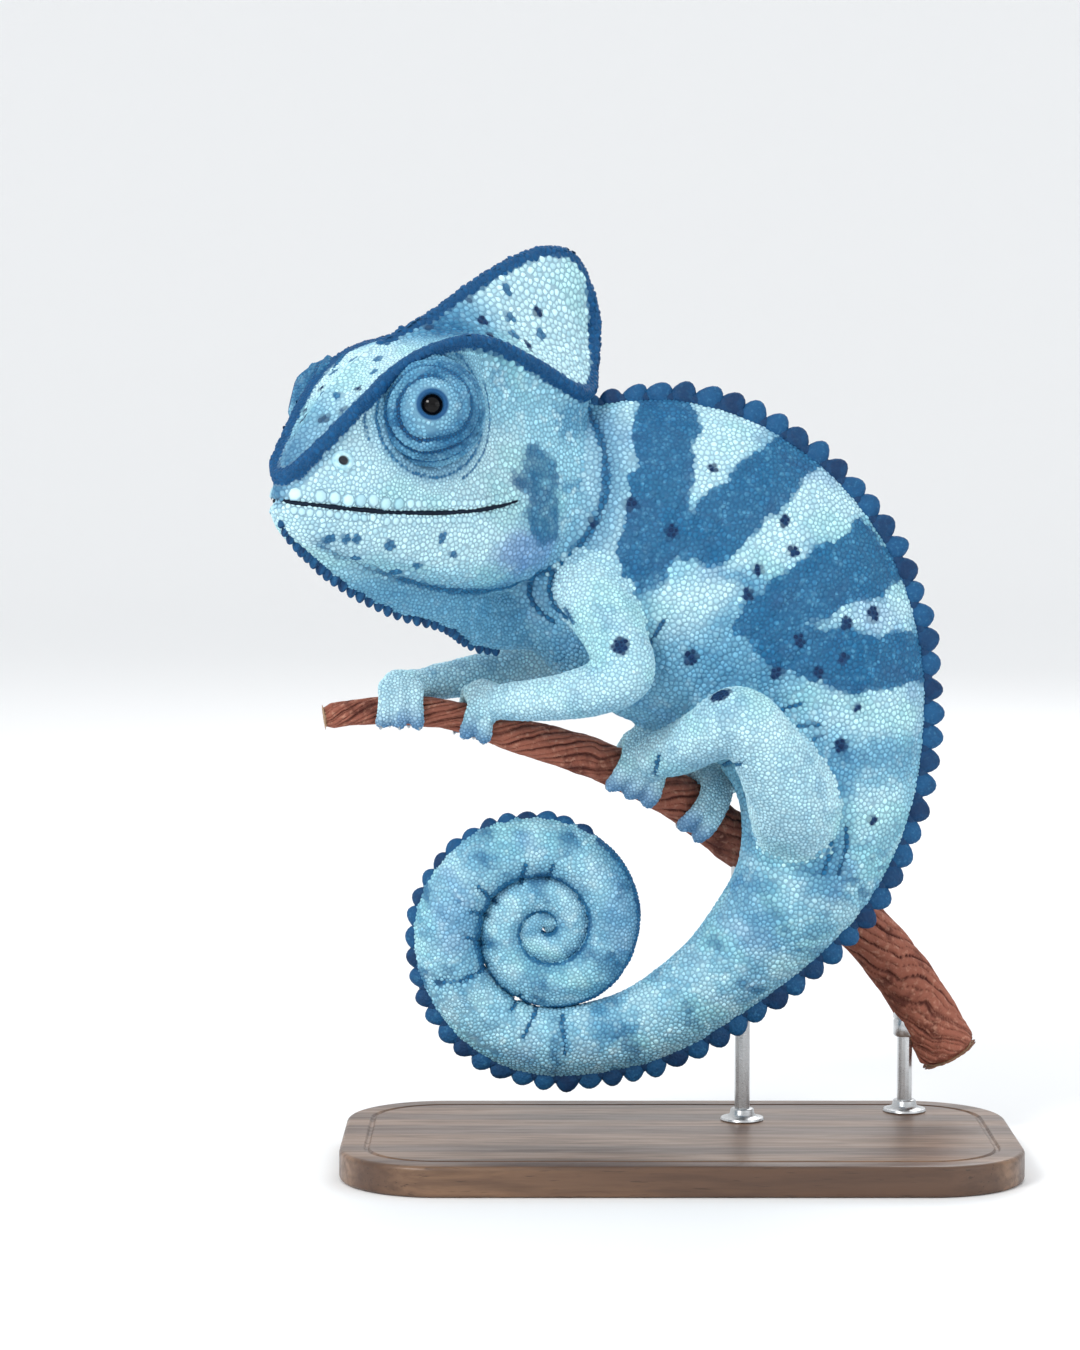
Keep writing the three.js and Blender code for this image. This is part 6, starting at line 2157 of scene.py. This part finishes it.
class CHAMELEON_OT_face(bpy.types.Operator):
    """Make the nostrils, with their pits painted dark as shade, and the line of painted shade between the
    closed lips
    """

    bl_idname = "chameleon.face"
    bl_label = "Nostrils and Lips"

    def execute(self, context):
        _, tree = skin_surface()
        look = make_look("nostril_rim", nostril_look, Roughness=0.45)
        for side, word in SIDES:
            finished(build_nostril(tree, side, word), look, "skin")
        look = make_look("lip_seam", lip_shade_look, Roughness=0.6, Specular_IOR_Level=0.1)
        finished(build_lip_shade(tree), look, "skin")
        return DONE


class CHAMELEON_OT_crests(bpy.types.Operator):
    """Make the crest of back and tail and the row of cones under the throat"""

    bl_idname = "chameleon.crests"
    bl_label = "Crests"

    def execute(self, context):
        rng = np.random.default_rng(context.scene.chameleon_sizes.seed + 2)
        _, tree = skin_surface()
        look = make_look("crest_horn", crest_look, Roughness=0.55, Specular_IOR_Level=0.25)
        finished(build_crest(rng), look, "skin")
        finished(build_gular_crest(rng, tree), look, "skin")
        return DONE


class CHAMELEON_OT_claws(bpy.types.Operator):
    """Make the claws"""

    bl_idname = "chameleon.claws"
    bl_label = "Claws"

    def execute(self, context):
        finished(build_claws(), make_look("claw_horn", claw_look, Roughness=0.3, Coat_Weight=0.25), "skin")
        return DONE


class CHAMELEON_OT_branch(bpy.types.Operator):
    """Make the perch's bark and sawn ends"""

    bl_idname = "chameleon.branch"
    bl_label = "Perch"

    def execute(self, context):
        look = make_look("twisted_bark", bark_look, Roughness=0.8, Specular_IOR_Level=0.3)
        finished(build_branch(), look, "bark", "perch_branch")
        return DONE


class CHAMELEON_OT_stand(bpy.types.Operator):
    """Make the display base and collars, and finish the two rods"""

    bl_idname = "chameleon.stand"
    bl_label = "Display Stand"

    def execute(self, context):
        look = make_look("oiled_walnut", walnut_look, Roughness=0.38, Coat_Weight=0.15, Coat_Roughness=0.25)
        finished(build_base(), look, "stand_wood", "stand_base")
        steel = make_look("brushed_steel", steel_look, Metallic=1.0, Roughness=0.3)
        for name, x in RODS.items():
            for slot in NODES[name].material_slots:
                slot.material = steel
            for kind, profile in COLLARS.items():
                finished(build_collar(f"{name}_{kind}", x, kind, profile), steel, "stand_steel")
        return DONE


class CHAMELEON_OT_studio(bpy.types.Operator):
    """Make the pale round studio floor, the soft lights and the camera"""

    bl_idname = "chameleon.studio"
    bl_label = "Studio"

    def execute(self, context):
        scene, studio = context.scene, context.scene.chameleon_studio
        scene.view_settings.view_transform = "Standard"
        floor = build_floor()
        look = make_look("studio_white", studio_look, Roughness=0.85, Specular_IOR_Level=0.1)
        floor.data.materials.append(look)

        scene.world = scene.world or bpy.data.worlds.new("studio_sky")
        scene.world.use_nodes = True
        sky = scene.world.node_tree.nodes["Background"].inputs
        sky["Color"].default_value = SKY
        sky["Strength"].default_value = studio.sky
        for name, at, size, glow in SOFTBOXES:
            lamp = bpy.data.lights.new(f"{name}_softbox", "AREA")
            lamp.energy, lamp.size, lamp.color = getattr(studio, f"{name}_power"), size, glow
            obj = bpy.data.objects.new(f"{name}_softbox", lamp)
            obj.location = at
            obj.rotation_euler = (Vector(at) - LIGHT_AIM).to_track_quat("Z", "Y").to_euler()
            scene.collection.objects.link(obj)

        back = Vector((0, -math.cos(CAMERA_TILT), math.sin(CAMERA_TILT)))
        camera = bpy.data.objects.new("front_camera", bpy.data.cameras.new("front_camera"))
        camera.data.lens, camera.data.sensor_width = studio.lens, SENSOR
        camera.data.clip_start, camera.data.clip_end = 0.02, 50
        camera.location = CAMERA_AIM + back * (VIEW_HEIGHT * studio.lens / SENSOR)
        camera.rotation_euler = back.to_track_quat("Z", "Y").to_euler()
        scene.collection.objects.link(camera)
        scene.camera = camera
        return DONE


STEPS = (
    CHAMELEON_OT_studio, CHAMELEON_OT_skin, CHAMELEON_OT_scales, CHAMELEON_OT_eyes, CHAMELEON_OT_face,
    CHAMELEON_OT_crests, CHAMELEON_OT_claws, CHAMELEON_OT_branch, CHAMELEON_OT_stand,
)
SETTINGS = {
    "chameleon_sizes": ChameleonSizes, "chameleon_colours": ChameleonColours,
    "chameleon_studio": ChameleonStudio,
}


class CHAMELEON_PT_panel(bpy.types.Panel):
    """Sizes, colours and the steps that make the chameleon."""

    bl_idname = "CHAMELEON_PT_panel"
    bl_label = "Veiled Chameleon"
    bl_space_type = "VIEW_3D"
    bl_region_type = "UI"
    bl_category = "Chameleon"

    def draw(self, context):
        for group in SETTINGS:
            box, settings = self.layout.box(), getattr(context.scene, group)
            for key in settings.__annotations__:
                box.prop(settings, key)
        for step in STEPS:
            self.layout.operator(step.bl_idname)


CLASSES = (*SETTINGS.values(), *STEPS, CHAMELEON_PT_panel)


def register():
    for cls in CLASSES:
        bpy.utils.register_class(cls)
    for name, group in SETTINGS.items():
        setattr(bpy.types.Scene, name, PointerProperty(type=group))


def unregister():
    for name in SETTINGS:
        delattr(bpy.types.Scene, name)
    for cls in reversed(CLASSES):
        bpy.utils.unregister_class(cls)


def main():
    """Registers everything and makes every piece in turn."""
    register()
    for step in STEPS:
        area, name = step.bl_idname.split(".")
        getattr(getattr(bpy.ops, area), name)()


if __name__ == "__main__":
    main()
